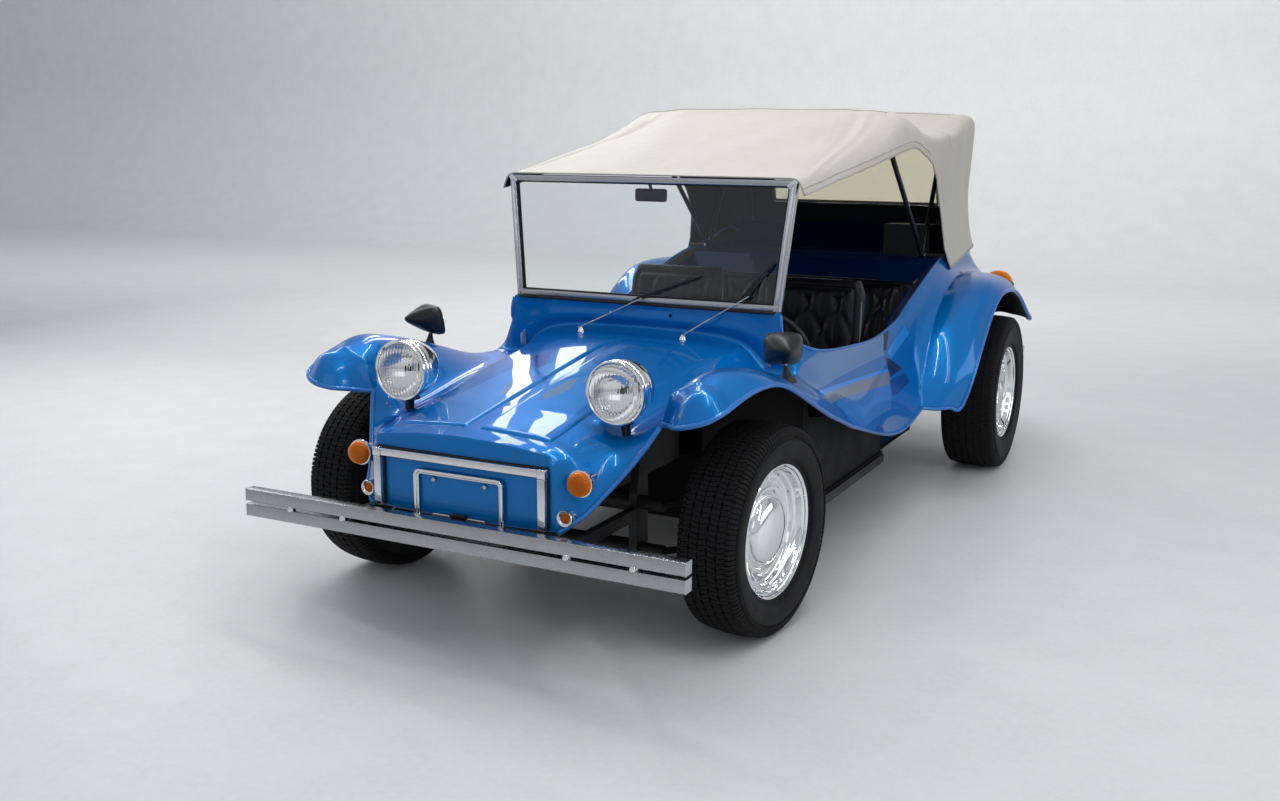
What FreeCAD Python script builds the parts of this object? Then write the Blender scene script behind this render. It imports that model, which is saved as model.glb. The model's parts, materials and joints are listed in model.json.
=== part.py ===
import FreeCAD, Part
import math
import os

os.makedirs("parts", exist_ok=True)

# Open two-door-less dune buggy: a glass-fibre body on a full-length platform
# with beam front axle and rear flat-four engine, under a fabric top.
# Millimetres. +X is the driver's (left) side, +Y to the rear, +Z up.
# While the pieces are made, y = 0 lies on the front axle and z = 0 on the
# floor; save() moves them all so that y = 0 is halfway along the vehicle.

# ---------------------------------------------------------------- sizes
WHEELBASE = 2400.0
REAR_Y = WHEELBASE        # the rear axle; all behind the cockpit goes with it
CLEAR = 0.3               # gap between curved faces that seat on each other
RUN_CLEAR = 0.05          # radial running clearance of pins and shafts

# wheels and tyres
RIM_BEAD_R = 190.5        # 15 in rim, at the bead seat
RIM_FLANGE_R = 207.5
RIM_WALL = 4.0
FRONT_TYRE_R = 327.0
FRONT_TYRE_W = 196.0
FRONT_RIM_W = 158.0
FRONT_TRACK_HALF = 691.0  # wheel centre plane from the middle of the car
REAR_TYRE_R = 348.0
REAR_TYRE_W = 236.0
REAR_RIM_W = 200.0
REAR_TRACK_HALF = 834.0
DRUM_R = 118.0

# front axle and steering
BEAM_Y = -150.0           # beam tubes lie ahead of the wheel centres
BEAM_HALF = 350.0
BEAM_TUBE_R = 28.0
BEAM_LOW_Z = 250.0
BEAM_HIGH_Z = 400.0
BEAM_WALL = 3.0
KINGPIN_X = 566.0
KINGPIN_R = 13.0
SPINDLE_R = 14.0
STEER_AT_REST = -5.5      # degrees, front wheels turned a little to the right
ARM_X = 440.0             # trailing arms

# platform
PAN_Z = 205.0             # underside of the floor
PAN_WALL = 4.0
PAN_HALF = 610.0
PAN_FRONT_Y = 330.0
PAN_REAR_Y = REAR_Y - 365.5
PAN_NARROW_Y = REAR_Y - 810.0
TUNNEL_HALF = 95.0
TUNNEL_H = 150.0
RAIL_W = 50.0
RAIL_H = 35.0
RAIL_WALL = 3.0

# body
SKIN = 5.0                # glass-fibre wall
HOOD_HALF = 292.0         # width of the nose at its front edge
NOSE_Y = -565.0           # front face of the nose
NOSE_LOW_Z = 400.0
COWL_Y = 560.0            # upright panel under the windscreen
COWL_TOP_Z = 898.0
COWL_HALF = 520.0
PLATE_BOLT_X = 89.0       # number-plate holes through the nose
PLATE_BOLT_Z = 512.0
PLATE_BOLT_R = 3.5

# windscreen
SCREEN_LOW_Z = 911.0
SCREEN_TOP_Z = 1349.0
SCREEN_LOW_HALF = 525.0
SCREEN_TOP_HALF = 568.0
SCREEN_LOW_Y = 582.0        # middle of the frame, front to back
SCREEN_TOP_Y = 608.0
POST_W = 26.0
POST_D = 30.0
POST_FOOT_Z = 690.0
GLASS = 5.0

# bumpers
BUMPER_BAR = 38.0
BUMPER_GAP = 10.0
FRONT_BUMPER_Y = -645.0   # front face
FRONT_BUMPER_HALF = 757.0
FRONT_BUMPER_LOW_Z = 328.0
REAR_BUMPER_Y = REAR_Y + 720.0    # rear face
REAR_BUMPER_HALF = 872.0
REAR_BUMPER_LOW_Z = 372.0

# fabric top
FABRIC = 5.0
BOW_Z = 1604.0
FRONT_BOW_Y = REAR_Y - 750.0
REAR_BOW_Y = REAR_Y + 260.0
TOP_PIVOT_Y = REAR_Y - 70.0
TOP_PIVOT_Z = 960.0
BOW_R = 11.0

PLACE_Y = -(FRONT_BUMPER_Y + REAR_BUMPER_Y) / 2.0


# -------------------------------------------------------------- helpers
def V(x, y, z):
    return FreeCAD.Vector(x, y, z)


def box(x0, x1, y0, y1, z0, z1):
    return Part.makeBox(x1 - x0, y1 - y0, z1 - z0, V(x0, y0, z0))


def rod(start, end, r):
    """A round bar between two points."""
    a = V(*start)
    b = V(*end)
    return Part.makeCylinder(r, (b - a).Length, a, b - a)


def tube(start, end, r, wall):
    a = V(*start)
    b = V(*end)
    outer = Part.makeCylinder(r, (b - a).Length, a, b - a)
    return outer.cut(Part.makeCylinder(r - wall, (b - a).Length, a, b - a))


def turned(profile, origin, axis):
    """Revolve (radius, distance along the axis) points about an axis."""
    pts = [V(r, 0, h) for r, h in profile]
    face = Part.Face(Part.makePolygon(pts + [pts[0]]))
    solid = face.revolve(V(0, 0, 0), V(0, 0, 1), 360)
    solid.Placement = FreeCAD.Placement(
        V(*origin), FreeCAD.Rotation(V(0, 0, 1), V(*axis)))
    return solid


def across(outline_yz, x0, x1):
    """Extrude a side-view outline from x0 to x1."""
    pts = [V(x0, y, z) for y, z in outline_yz]
    face = Part.Face(Part.makePolygon(pts + [pts[0]]))
    return face.extrude(V(x1 - x0, 0, 0))


def along(outline_xz, y0, y1):
    """Extrude a front-view outline from y0 to y1."""
    pts = [V(x, y0, z) for x, z in outline_xz]
    face = Part.Face(Part.makePolygon(pts + [pts[0]]))
    return face.extrude(V(0, y1 - y0, 0))


def up(outline_xy, z0, z1):
    """Extrude a plan-view outline from z0 to z1."""
    pts = [V(x, y, z0) for x, y in outline_xy]
    face = Part.Face(Part.makePolygon(pts + [pts[0]]))
    return face.extrude(V(0, 0, z1 - z0))


def band(points, wall):
    """Close an open 2-D line into a strip, its wall to the right of travel."""
    inner = []
    last = len(points) - 1
    for i, (a, b) in enumerate(points):
        turns = []
        for j, k in ((i - 1, i), (i, i + 1)):
            if j >= 0 and k <= last:
                da = points[k][0] - points[j][0]
                db = points[k][1] - points[j][1]
                size = math.hypot(da, db)
                turns.append((db / size, -da / size))
        na = sum(t[0] for t in turns)
        nb = sum(t[1] for t in turns)
        size = math.hypot(na, nb)
        na, nb = na / size, nb / size
        reach = wall / (na * turns[0][0] + nb * turns[0][1])
        inner.append((a + na * reach, b + nb * reach))
    return points + inner[::-1]


def mirrored(shape):
    return shape.mirror(V(0, 0, 0), V(1, 0, 0))


def both(shape):
    """The shape and its mirror image, as one node of separate solids."""
    return Part.makeCompound(shape.Solids + mirrored(shape).Solids)


def joined(shapes):
    whole = shapes[0].multiFuse(shapes[1:])
    return whole.removeSplitter()


def arc_wall(points, wall):
    """Offset two arcs through five 2-D points by one wall, right of travel."""
    def side(p, trio):
        (ax, ay), (bx, by), (cx, cy) = trio
        cross = (bx - ax) * (cy - by) - (by - ay) * (cx - bx)
        if abs(cross) < 1e-3:
            n = (cy - ay, ax - cx)
        else:
            d = 2 * (ax * (by - cy) + bx * (cy - ay) + cx * (ay - by))
            sq = [x * x + y * y for x, y in trio]
            mx = (sq[0] * (by - cy) + sq[1] * (cy - ay) + sq[2] * (ay - by)) / d
            my = (sq[0] * (cx - bx) + sq[1] * (ax - cx) + sq[2] * (bx - ax)) / d
            n = (p[0] - mx, p[1] - my) if cross > 0 else (mx - p[0], my - p[1])
        size = math.hypot(*n)
        return n[0] / size, n[1] / size

    normals = [[] for _ in points]
    for s in range(0, len(points) - 2, 2):
        trio = points[s:s + 3]
        for k in range(3):
            normals[s + k].append(side(trio[k], trio))
    inner = []
    for p, found in zip(points, normals):
        na = sum(n[0] for n in found)
        nb = sum(n[1] for n in found)
        size = math.hypot(na, nb)
        inner.append((p[0] + na / size * wall, p[1] + nb / size * wall))
    return inner


def arc_strip(points, wall, place):
    """A closed wire: arcs through the points, and back one wall inside.

    `place` turns a 2-D point into a 3-D one.
    """
    inner = arc_wall(points, wall)
    out = [place(p) for p in points]
    back = [place(p) for p in inner[::-1]]
    edges = []
    for line in (out, back):
        for s in range(0, len(line) - 2, 2):
            edges.append(Part.Arc(line[s], line[s + 1], line[s + 2]).toShape())
        nxt = back[0] if line is out else out[0]
        edges.append(Part.makeLine(line[-1], nxt))
    return Part.Wire(edges)


def loft(wires, ruled=True):
    return Part.makeLoft(wires, True, ruled)


NODES = {}


def save(name, shape):
    NODES[name] = shape
    moved = shape.copy()
    moved.translate(V(0, PLACE_Y, 0))
    moved.exportStep("parts/" + name + ".step")


# ------------------------------------------------------------ body skin
# Sections of the left half of the body at stations along the car. Each is
# two arcs through five points: inner end, dip, change of curve, crest, lip.
# columns: y, then x, z of inner, dip, turn, crest and lip
FENDER_STATIONS = (
    (-305, 300, 668, 412, 652, 505, 702, 628, 822, 736, 766),
    (-200, 306, 684, 420, 678, 520, 742, 640, 838, 752, 789),
    (-70, 316, 704, 432, 702, 535, 760, 655, 826, 778, 790),
    (110, 330, 728, 448, 716, 552, 752, 680, 782, 790, 722),
    (330, 350, 754, 452, 706, 566, 706, 692, 702, 791, 629),
    (470, 382, 768, 470, 700, 582, 694, 698, 658, 787, 580),
    (560, 400, 778, 490, 700, 596, 690, 702, 634, 782, 550),
)
SIDE_STATIONS = (
    (560, 545, 830, 562, 762, 596, 712, 702, 634, 782, 550),
    (640, 572, 792, 590, 744, 625, 706, 704, 618, 776, 524),
    (800, 600, 748, 615, 726, 650, 682, 712, 578, 768, 480),
    (1100, 618, 724, 634, 708, 664, 656, 713, 527, 752, 401),
    (1360, 632, 722, 648, 708, 676, 642, 716, 500, 755, 367),
    (REAR_Y - 800, 640, 760, 654, 742, 684, 662, 722, 520, 760, 420),
)
# Hip: the body side over the rear wheel arch, from the cockpit rim down to
# the crease where the rear fender starts
HIP_STATIONS = (
    SIDE_STATIONS[-1],
    (REAR_Y - 700, 640, 790, 654, 772, 680, 708, 708, 640, 740, 575),
    (REAR_Y - 540, 640, 842, 652, 828, 672, 790, 694, 764, 730, 740),
    (REAR_Y - 340, 636, 902, 648, 888, 664, 868, 686, 842, 716, 822),
    (REAR_Y - 70, 622, 952, 634, 938, 650, 915, 672, 890, 704, 874),
    (REAR_Y + 220, 606, 1000, 618, 978, 634, 940, 656, 895, 704, 872),
    (REAR_Y + 480, 596, 1050, 606, 1010, 620, 950, 642, 890, 702, 838),
    (REAR_Y + 530, 594, 962, 604, 945, 620, 915, 648, 868, 700, 812),
)
# Front lobe of the fender, ahead of its first full section
# columns: y, then x, z of inner lip, rise, turn, crest and outer lip
LOBE_STATIONS = (
    (-305, 511, 684, 530, 744, 560, 786, 636, 824, 736, 766),
    (-350, 578, 700, 586, 744, 600, 776, 645, 812, 730, 756),
    (-388, 604, 712, 610, 738, 620, 758, 652, 782, 712, 741),
    (-412, 630, 719, 634, 730, 640, 738, 652, 745, 676, 730),
)
# Leg of the body between the nose and the front wheel arch
# columns: y, then x, z of the hood edge, a middle point and the arch edge
LEG_STATIONS = (
    (-562, 296, 626, 314, 540, 322, 408),
    (-520, 297, 632, 350, 574, 374, 450),
    (-470, 298, 640, 376, 596, 402, 490),
    (-380, 299, 655, 404, 628, 456, 584),
    (-305, 300, 668, 412, 652, 511, 684),
)
# Hood, right across: a crease down the middle, the edges meet the fenders
# columns: y, z of the crease, then x, z of the crown and of the edge
HOOD_STATIONS = (
    (-562, 648, 150, 642, 296, 626),
    (-305, 690, 155, 684, 300, 668),
    (-70, 727, 165, 721, 316, 704),
    (110, 754, 175, 748, 330, 728),
    (330, 786, 190, 780, 350, 754),
    (470, 802, 205, 797, 382, 768),
    (560, 812, 215, 808, 400, 778),
)
# Rear fender: sections in planes through the rear axle line. Angles are
# measured from straight back, over the top, to straight ahead.
# columns: angle, then x, radius of crease, shoulder, crown, edge and lip
REAR_FENDER_STATIONS = (
    (176, 758, 805, 790, 772, 828, 738, 858, 692, 884, 648),
    (163, 740, 752, 786, 742, 840, 718, 886, 678, 918, 622),
    (144, 730, 666, 782, 668, 842, 655, 892, 608, 920, 541),
    (118, 712, 560, 770, 572, 836, 573, 892, 550, 922, 504),
    (96, 704, 530, 762, 538, 832, 536, 892, 515, 926, 475),
    (74, 704, 548, 762, 548, 832, 538, 892, 512, 930, 466),
    (55, 703, 618, 762, 594, 832, 562, 894, 524, 936, 468),
    (41, 700, 705, 762, 668, 832, 618, 894, 560, 940, 494),
)


def at_y(y):
    return lambda p: V(p[0], y, p[1])


def about_rear_axle(angle):
    """Places (x, radius) points in a plane through the rear axle line."""
    a = math.radians(angle)
    return lambda p: V(p[0], REAR_Y + p[1] * math.cos(a), REAR_TYRE_R + p[1] * math.sin(a))


def pairs(values):
    return [(values[i], values[i + 1]) for i in range(0, len(values), 2)]


def side_skin(rows):
    """The body wall through a run of constant-y stations."""
    return loft([arc_strip(pairs(row[1:]), SKIN, at_y(row[0])) for row in rows])


def front_fender():
    """Fender top, its front lobe and the leg beside the nose, as one wall."""
    return joined([side_skin(FENDER_STATIONS), side_skin(LOBE_STATIONS), side_skin(LEG_STATIONS)])


def side_panel():
    """Body side from the windscreen back over the rear arch."""
    return joined([side_skin(SIDE_STATIONS), side_skin(HIP_STATIONS)])


def rear_fender():
    wires = []
    for row in REAR_FENDER_STATIONS:
        wires.append(arc_strip(pairs(row[1:]), SKIN, about_rear_axle(row[0])))
    return loft(wires)


def hood():
    """Hood with its crease, and the nose panel under its front edge."""
    wires = []
    for y, zc, xm, zm, xe, ze in HOOD_STATIONS:
        pts = [(-xe, ze), (-xm, zm), (0, zc), (xm, zm), (xe, ze)]
        wires.append(arc_strip(pts, SKIN, at_y(y)))
    front = HOOD_STATIONS[0]
    nose = along([(-front[4], front[5]), (-front[2], front[3]), (0, front[1]),
                  (front[2], front[3]), (front[4], front[5]),
                  (LEG_STATIONS[0][5], NOSE_LOW_Z), (-LEG_STATIONS[0][5], NOSE_LOW_Z)],
                 NOSE_Y - SKIN, front[0])
    for x in (-PLATE_BOLT_X, PLATE_BOLT_X):
        nose = nose.cut(rod((x, NOSE_Y - 20, PLATE_BOLT_Z), (x, NOSE_Y + 20, PLATE_BOLT_Z), PLATE_BOLT_R))
    return joined([loft(wires), nose])


def cowl():
    """Upright panel under the windscreen, standing on hood and fenders."""
    y0 = COWL_Y + CLEAR
    wall = box(-COWL_HALF, COWL_HALF, y0, y0 + SKIN, POST_FOOT_Z, COWL_TOP_Z)
    ledge = box(-COWL_HALF, COWL_HALF, y0, y0 + 60, COWL_TOP_Z, COWL_TOP_Z + SKIN)
    return joined([wall, ledge])


def largest(shape):
    """The main solid of a cut piece, without the slivers beside it."""
    return max(shape.Solids, key=lambda solid: solid.Volume)


whole_hood = hood()
left_side = side_panel()
left_fender = largest(front_fender().cut(whole_hood))
left_rear = largest(rear_fender().cut(left_side))
save("front_fender_left", left_fender)
save("front_fender_right", mirrored(left_fender))
save("side_panel_left", left_side)
save("side_panel_right", mirrored(left_side))
save("rear_fender_left", left_rear)
save("rear_fender_right", mirrored(left_rear))
save("hood", whole_hood)
save("cowl", cowl())

# ------------------------------------------------------------- rear tub
# Bulkhead behind the bench, luggage shelf and the panel across the back,
# as one folded wall between the hips. columns: y, z
TUB_HALF = PAN_HALF - 14.0
TUB_LINE = (
    (REAR_Y - 360, PAN_Z), (REAR_Y - 340, 420), (REAR_Y - 110, 930), (REAR_Y - 70, 948),
    (REAR_Y + 400, 930), (REAR_Y + 472, 1050), (REAR_Y + 486, 1050), (REAR_Y + 560, 900),
    (REAR_Y + 575, 640),
)


def line_at(points, z):
    """The y of an open (y, z) line where it passes height z."""
    for (ya, za), (yb, zb) in zip(points, points[1:]):
        if za <= z <= zb:
            return ya + (z - za) / (zb - za) * (yb - ya)
    return points[-1][0]


def shelf_top(y):
    """Height of the luggage shelf's upper face."""
    (ya, za), (yb, zb) = TUB_LINE[3], TUB_LINE[4]
    return za + (y - ya) / (yb - ya) * (zb - za) + SKIN


tub_fold = across(band(list(TUB_LINE)[::-1], SKIN), -TUB_HALF, TUB_HALF)
# Inner wheel-house walls beside the bench and under the shelf
HOUSE_LOW_Z = PAN_Z + 20.0
HOUSE_LINE = (
    (REAR_Y - 800, HOUSE_LOW_Z), (REAR_Y - 359, HOUSE_LOW_Z), (REAR_Y - 341, 420), (REAR_Y - 114, 925),
    (REAR_Y - 410, 868), (REAR_Y - 660, 790), (REAR_Y - 800, 740),
)
house = across(HOUSE_LINE, TUB_HALF - SKIN, TUB_HALF)
tub = joined([tub_fold, house, mirrored(house)])
tub = largest(tub.cut(left_side).cut(mirrored(left_side)))
save("rear_tub", tub)

# ------------------------------------------------------------- platform
# Floor pan with its centre tunnel; its front corners are cut back so that
# the steered front tyres clear them.
PAN_NOSE_HALF = 350.0
PAN_WIDE_Y = 640.0
PAN_OUTLINE = (
    (-PAN_NOSE_HALF, PAN_FRONT_Y), (PAN_NOSE_HALF, PAN_FRONT_Y), (PAN_HALF, PAN_WIDE_Y),
    (PAN_HALF, PAN_NARROW_Y), (TUB_HALF - SKIN, PAN_NARROW_Y), (TUB_HALF - SKIN, PAN_REAR_Y),
    (-TUB_HALF + SKIN, PAN_REAR_Y), (-TUB_HALF + SKIN, PAN_NARROW_Y), (-PAN_HALF, PAN_NARROW_Y),
    (-PAN_HALF, PAN_WIDE_Y),
)
pan = up(PAN_OUTLINE, PAN_Z, PAN_Z + PAN_WALL)
TUNNEL_TOP = PAN_Z + TUNNEL_H
tunnel_line = ((-TUNNEL_HALF, PAN_Z), (-TUNNEL_HALF, TUNNEL_TOP - 40), (-55, TUNNEL_TOP),
               (55, TUNNEL_TOP), (TUNNEL_HALF, TUNNEL_TOP - 40), (TUNNEL_HALF, PAN_Z))
tunnel = along(band(list(tunnel_line), PAN_WALL), PAN_FRONT_Y, PAN_REAR_Y)
save("floor_pan", joined([pan, tunnel]))

# Footwell: toe board and slanted side walls up to the body, ahead of the pan
TOE_TOP_Z = 690.0
TOE_TOP_Y = 545.0
toe = across(band([(TOE_TOP_Y, TOE_TOP_Z), (PAN_FRONT_Y, 430), (PAN_FRONT_Y, PAN_Z + PAN_WALL)], SKIN),
             -PAN_NOSE_HALF, PAN_NOSE_HALF)
FOOT_HALF = PAN_HALF - 12.0
FOOT_TOP_Z = 660.0
foot_line = [(FOOT_HALF, PAN_NARROW_Y - 5), (FOOT_HALF, PAN_WIDE_Y), (PAN_NOSE_HALF, PAN_FRONT_Y + SKIN + 2)]
foot_side = up(band(foot_line, SKIN), PAN_Z + PAN_WALL, FOOT_TOP_Z)
# Its upper edge steps down to the low side walls beside the seats
foot_edge = ((0, 0), (PAN_NARROW_Y, 0), (PAN_NARROW_Y, 400), (REAR_Y - 900, 400),
             (PAN_WIDE_Y + 60, 520), (PAN_WIDE_Y - 20, FOOT_TOP_Z + 40), (0, FOOT_TOP_Z + 40))
foot_side = foot_side.common(across(foot_edge, 0, FOOT_HALF + SKIN))
footwell = joined([toe, foot_side, mirrored(foot_side)])
save("footwell", footwell)

# Side rails under the edges of the floor
RAIL_OUT = PAN_HALF + 12.0
RAIL_FRONT_Y = PAN_WIDE_Y + 30.0
RAIL_REAR_Y = PAN_NARROW_Y - 30.0
rail = box(RAIL_OUT - RAIL_W, RAIL_OUT, RAIL_FRONT_Y, RAIL_REAR_Y, PAN_Z - RAIL_H, PAN_Z)
rail_bore = box(RAIL_OUT - RAIL_W + RAIL_WALL, RAIL_OUT - RAIL_WALL, RAIL_FRONT_Y, RAIL_REAR_Y,
                PAN_Z - RAIL_H + RAIL_WALL, PAN_Z - RAIL_WALL)
save("side_rails", both(rail.cut(rail_bore)))

# Front compartment: a tray between nose and toe board
TRAY_HALF = 283.0
TRAY_WALL = 3.0
TRAY_Z = BEAM_HIGH_Z + BEAM_TUBE_R + CLEAR
tray_line = ((-TRAY_HALF, 600), (-TRAY_HALF, TRAY_Z), (TRAY_HALF, TRAY_Z), (TRAY_HALF, 600))
tray = along(band(list(tray_line)[::-1], TRAY_WALL), HOOD_STATIONS[0][0], 300)
save("front_tray", tray)

# ------------------------------------------------------------ front axle
beam = [tube((-BEAM_HALF, BEAM_Y, z), (BEAM_HALF, BEAM_Y, z), BEAM_TUBE_R, BEAM_WALL)
        for z in (BEAM_LOW_Z, BEAM_HIGH_Z)]
TOWER_W = 26.0
tower_line = ((BEAM_Y - 38, BEAM_LOW_Z - 36), (BEAM_Y + 38, BEAM_LOW_Z - 36), (BEAM_Y + 38, BEAM_HIGH_Z + 34),
              (BEAM_Y + 26, 575), (BEAM_Y - 10, 575), (BEAM_Y - 38, BEAM_HIGH_Z + 34))
tower = across(tower_line, BEAM_HALF, BEAM_HALF + TOWER_W)
EYE_R = 25.0
EYE_H = 24.0
SLEEVE_LOW_Z = 262.0
SLEEVE_HIGH_Z = 392.0
arms = []
for z, eye_z in ((BEAM_LOW_Z, SLEEVE_LOW_Z - EYE_H - CLEAR), (BEAM_HIGH_Z, SLEEVE_HIGH_Z + CLEAR)):
    pivot = rod((BEAM_HALF + TOWER_W, BEAM_Y, z), (ARM_X + 10, BEAM_Y, z), 22)
    eye_mid = eye_z + EYE_H / 2
    arm = rod((ARM_X - 6, BEAM_Y, z), (KINGPIN_X, 0, eye_mid), 11)
    eye = Part.makeCylinder(EYE_R, EYE_H, V(KINGPIN_X, 0, eye_z))
    arms += [pivot, arm, eye]
kingpin = Part.makeCylinder(KINGPIN_R, SLEEVE_HIGH_Z - SLEEVE_LOW_Z + 2 * CLEAR + 2 * EYE_H - 4,
                            V(KINGPIN_X, 0, SLEEVE_LOW_Z - CLEAR - EYE_H + 2))
axle_side = joined([tower, kingpin] + arms)
save("front_beam", joined(beam + [axle_side, mirrored(axle_side)]))


def steered(shape, side):
    """Turn a left-hand front wheel piece to its rest angle, on either side."""
    placed = shape.copy() if side > 0 else mirrored(shape)
    placed.rotate(V(side * KINGPIN_X, 0, 0), V(0, 0, 1), STEER_AT_REST)
    return placed


SPINDLE_END_X = FRONT_TRACK_HALF + 22
BACKPLATE_X = 628.0
sleeve = Part.makeCylinder(24, SLEEVE_HIGH_Z - SLEEVE_LOW_Z, V(KINGPIN_X, 0, SLEEVE_LOW_Z))
spindle_root = rod((KINGPIN_X, 0, FRONT_TYRE_R), (BACKPLATE_X, 0, FRONT_TYRE_R), 22)
spindle = rod((BACKPLATE_X, 0, FRONT_TYRE_R), (SPINDLE_END_X, 0, FRONT_TYRE_R), SPINDLE_R)
backplate = rod((BACKPLATE_X - 5, 0, FRONT_TYRE_R), (BACKPLATE_X, 0, FRONT_TYRE_R), DRUM_R)
steer_arm = box(KINGPIN_X - 18, KINGPIN_X + 2, 10, 120, 306, 322)
knuckle = joined([sleeve, spindle_root, spindle, backplate, steer_arm])
knuckle = knuckle.cut(Part.makeCylinder(KINGPIN_R + RUN_CLEAR, 200, V(KINGPIN_X, 0, SLEEVE_LOW_Z - 20)))
save("knuckle_left", steered(knuckle, 1))
save("knuckle_right", steered(knuckle, -1))

# ------------------------------------------------- rear axle and gearbox
AXLE_Z = REAR_TYRE_R
TORSION_Z = 300.0
TORSION_R = 42.0
BULKHEAD_LEAN = math.atan2(TUB_LINE[1][0] - TUB_LINE[0][0], TUB_LINE[1][1] - TUB_LINE[0][1])
TORSION_Y = line_at(TUB_LINE[:2], TORSION_Z) + (TORSION_R + CLEAR) / math.cos(BULKHEAD_LEAN)
TORSION_HALF = 560.0
torsion = tube((-TORSION_HALF, TORSION_Y, TORSION_Z), (TORSION_HALF, TORSION_Y, TORSION_Z), TORSION_R, 4)
GEAR_HALF = 105.0
GEAR_FRONT_Y = REAR_Y - 240.0
CASE_FRONT_Y = REAR_Y + 130.0     # engine case, also the gearbox's rear face
gear_line = (
    (GEAR_FRONT_Y, 285), (REAR_Y - 100, 262), (REAR_Y + 70, 255), (CASE_FRONT_Y, 262),
    (CASE_FRONT_Y, 452), (REAR_Y + 70, 470), (REAR_Y - 100, 430), (GEAR_FRONT_Y, 380),
)
gearbox = across(gear_line, -GEAR_HALF, GEAR_HALF)
nose_cone = rod((0, GEAR_FRONT_Y - 50, 330), (0, GEAR_FRONT_Y + 5, 330), 46)
save("transaxle", joined([gearbox, nose_cone]).cut(
    rod((-110, TORSION_Y, TORSION_Z), (110, TORSION_Y, TORSION_Z), TORSION_R + CLEAR)))
REAR_PLATE_X = 752.0
HALF_TUBE_R = 30.0
axle_tube = rod((GEAR_HALF, REAR_Y, AXLE_Z), (REAR_PLATE_X, REAR_Y, AXLE_Z), HALF_TUBE_R)
stub = rod((REAR_PLATE_X, REAR_Y, AXLE_Z), (REAR_TRACK_HALF - 22, REAR_Y, AXLE_Z), SPINDLE_R)
rear_plate = rod((REAR_PLATE_X - 5, REAR_Y, AXLE_Z), (REAR_PLATE_X, REAR_Y, AXLE_Z), DRUM_R)
SPRING_PLATE_WALL = 10.0
spring_line = (
    (TORSION_Y - 36, TORSION_Z - 30), (REAR_Y + 40, AXLE_Z - 38),
    (REAR_Y + 40, AXLE_Z + 38), (TORSION_Y - 30, TORSION_Z + 34),
)
spring_plate = across(spring_line, TORSION_HALF, TORSION_HALF + SPRING_PLATE_WALL)
DAMPER_X = 500.0
DAMPER_R = 24.0
DAMPER_TOP_Z = 690.0
damper = rod((DAMPER_X, REAR_Y + 20, AXLE_Z + 20), (DAMPER_X, REAR_Y - 110, DAMPER_TOP_Z), DAMPER_R)
half_axle = joined([axle_tube, stub, rear_plate, spring_plate, damper])
save("rear_axle", joined([torsion, half_axle, mirrored(half_axle)]))


# --------------------------------------------------------------- wheels
CAP_SEAT_R = 70.0
CAP_H = 34.0
HUB_R = 32.0


def rim(width, dish, hub_inner):
    """Chrome wheel with its domed cap and brake drum, axis along +Z.

    h runs outward from the wheel's centre plane; `dish` is how far the disc
    lies inside the outer flange, `hub_inner` is the drum's inner face.
    """
    half = width / 2
    well = RIM_BEAD_R - 24
    barrel = band([(RIM_FLANGE_R, half), (RIM_FLANGE_R - 4, half - 7), (RIM_BEAD_R, half - 11),
                   (RIM_BEAD_R, half - 38), (well, half - 52), (well, 30 - half),
                   (RIM_BEAD_R, 22 - half), (RIM_BEAD_R, 11 - half), (RIM_FLANGE_R, -half)], RIM_WALL)
    face = half - dish
    disc = [
        (well - 2, face - 16), (well - 2, face - 22), (130, face - 22), (118, face - 8),
        (CAP_SEAT_R, face - 8), (CAP_SEAT_R, face), (124, face), (140, face - 12),
    ]
    cap = [
        (0, face + CAP_H), (24, face + CAP_H - 2), (46, face + CAP_H - 10), (60, face + 10), (66, face),
        (CAP_SEAT_R, face), (CAP_SEAT_R, face - 8), (58, face - 8), (0, face + CAP_H - 14),
    ]
    bore = SPINDLE_R + RUN_CLEAR
    drum = [
        (bore, face - 8), (112, face - 8), (112, face - 26), (DRUM_R + 6, face - 34),
        (DRUM_R + 6, hub_inner), (DRUM_R - 2, hub_inner), (DRUM_R - 2, face - 42), (104, face - 34),
        (104, face - 20), (HUB_R, face - 20), (HUB_R, hub_inner + 4), (bore, hub_inner + 4),
    ]
    return joined([turned(p, (0, 0, 0), (0, 0, 1)) for p in (barrel, disc, cap, drum)])


def tyre(radius, width, rim_width):
    half = width / 2
    bead = rim_width / 2 - 12
    side = [(RIM_BEAD_R, bead), (RIM_FLANGE_R + 6, bead + 3), (RIM_FLANGE_R + 22, half - 6),
            ((RIM_FLANGE_R + radius) / 2 + 4, half), (radius - 24, half - 12), (radius - 5, half - 30)]
    profile = side + [(radius, half - 48)]
    profile += [(r, -h) for r, h in profile[::-1]]
    inner = [(RIM_BEAD_R, -bead + 22), (radius - 40, -half + 24), (radius - 16, 0),
             (radius - 40, half - 24), (RIM_BEAD_R, bead - 22)]
    return turned(profile + inner, (0, 0, 0), (0, 0, 1))


def wheel_at(shape, x, y, z):
    placed = shape.copy()
    placed.rotate(V(0, 0, 0), V(0, 1, 0), 90)
    placed.translate(V(x, y, z))
    return placed


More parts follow.
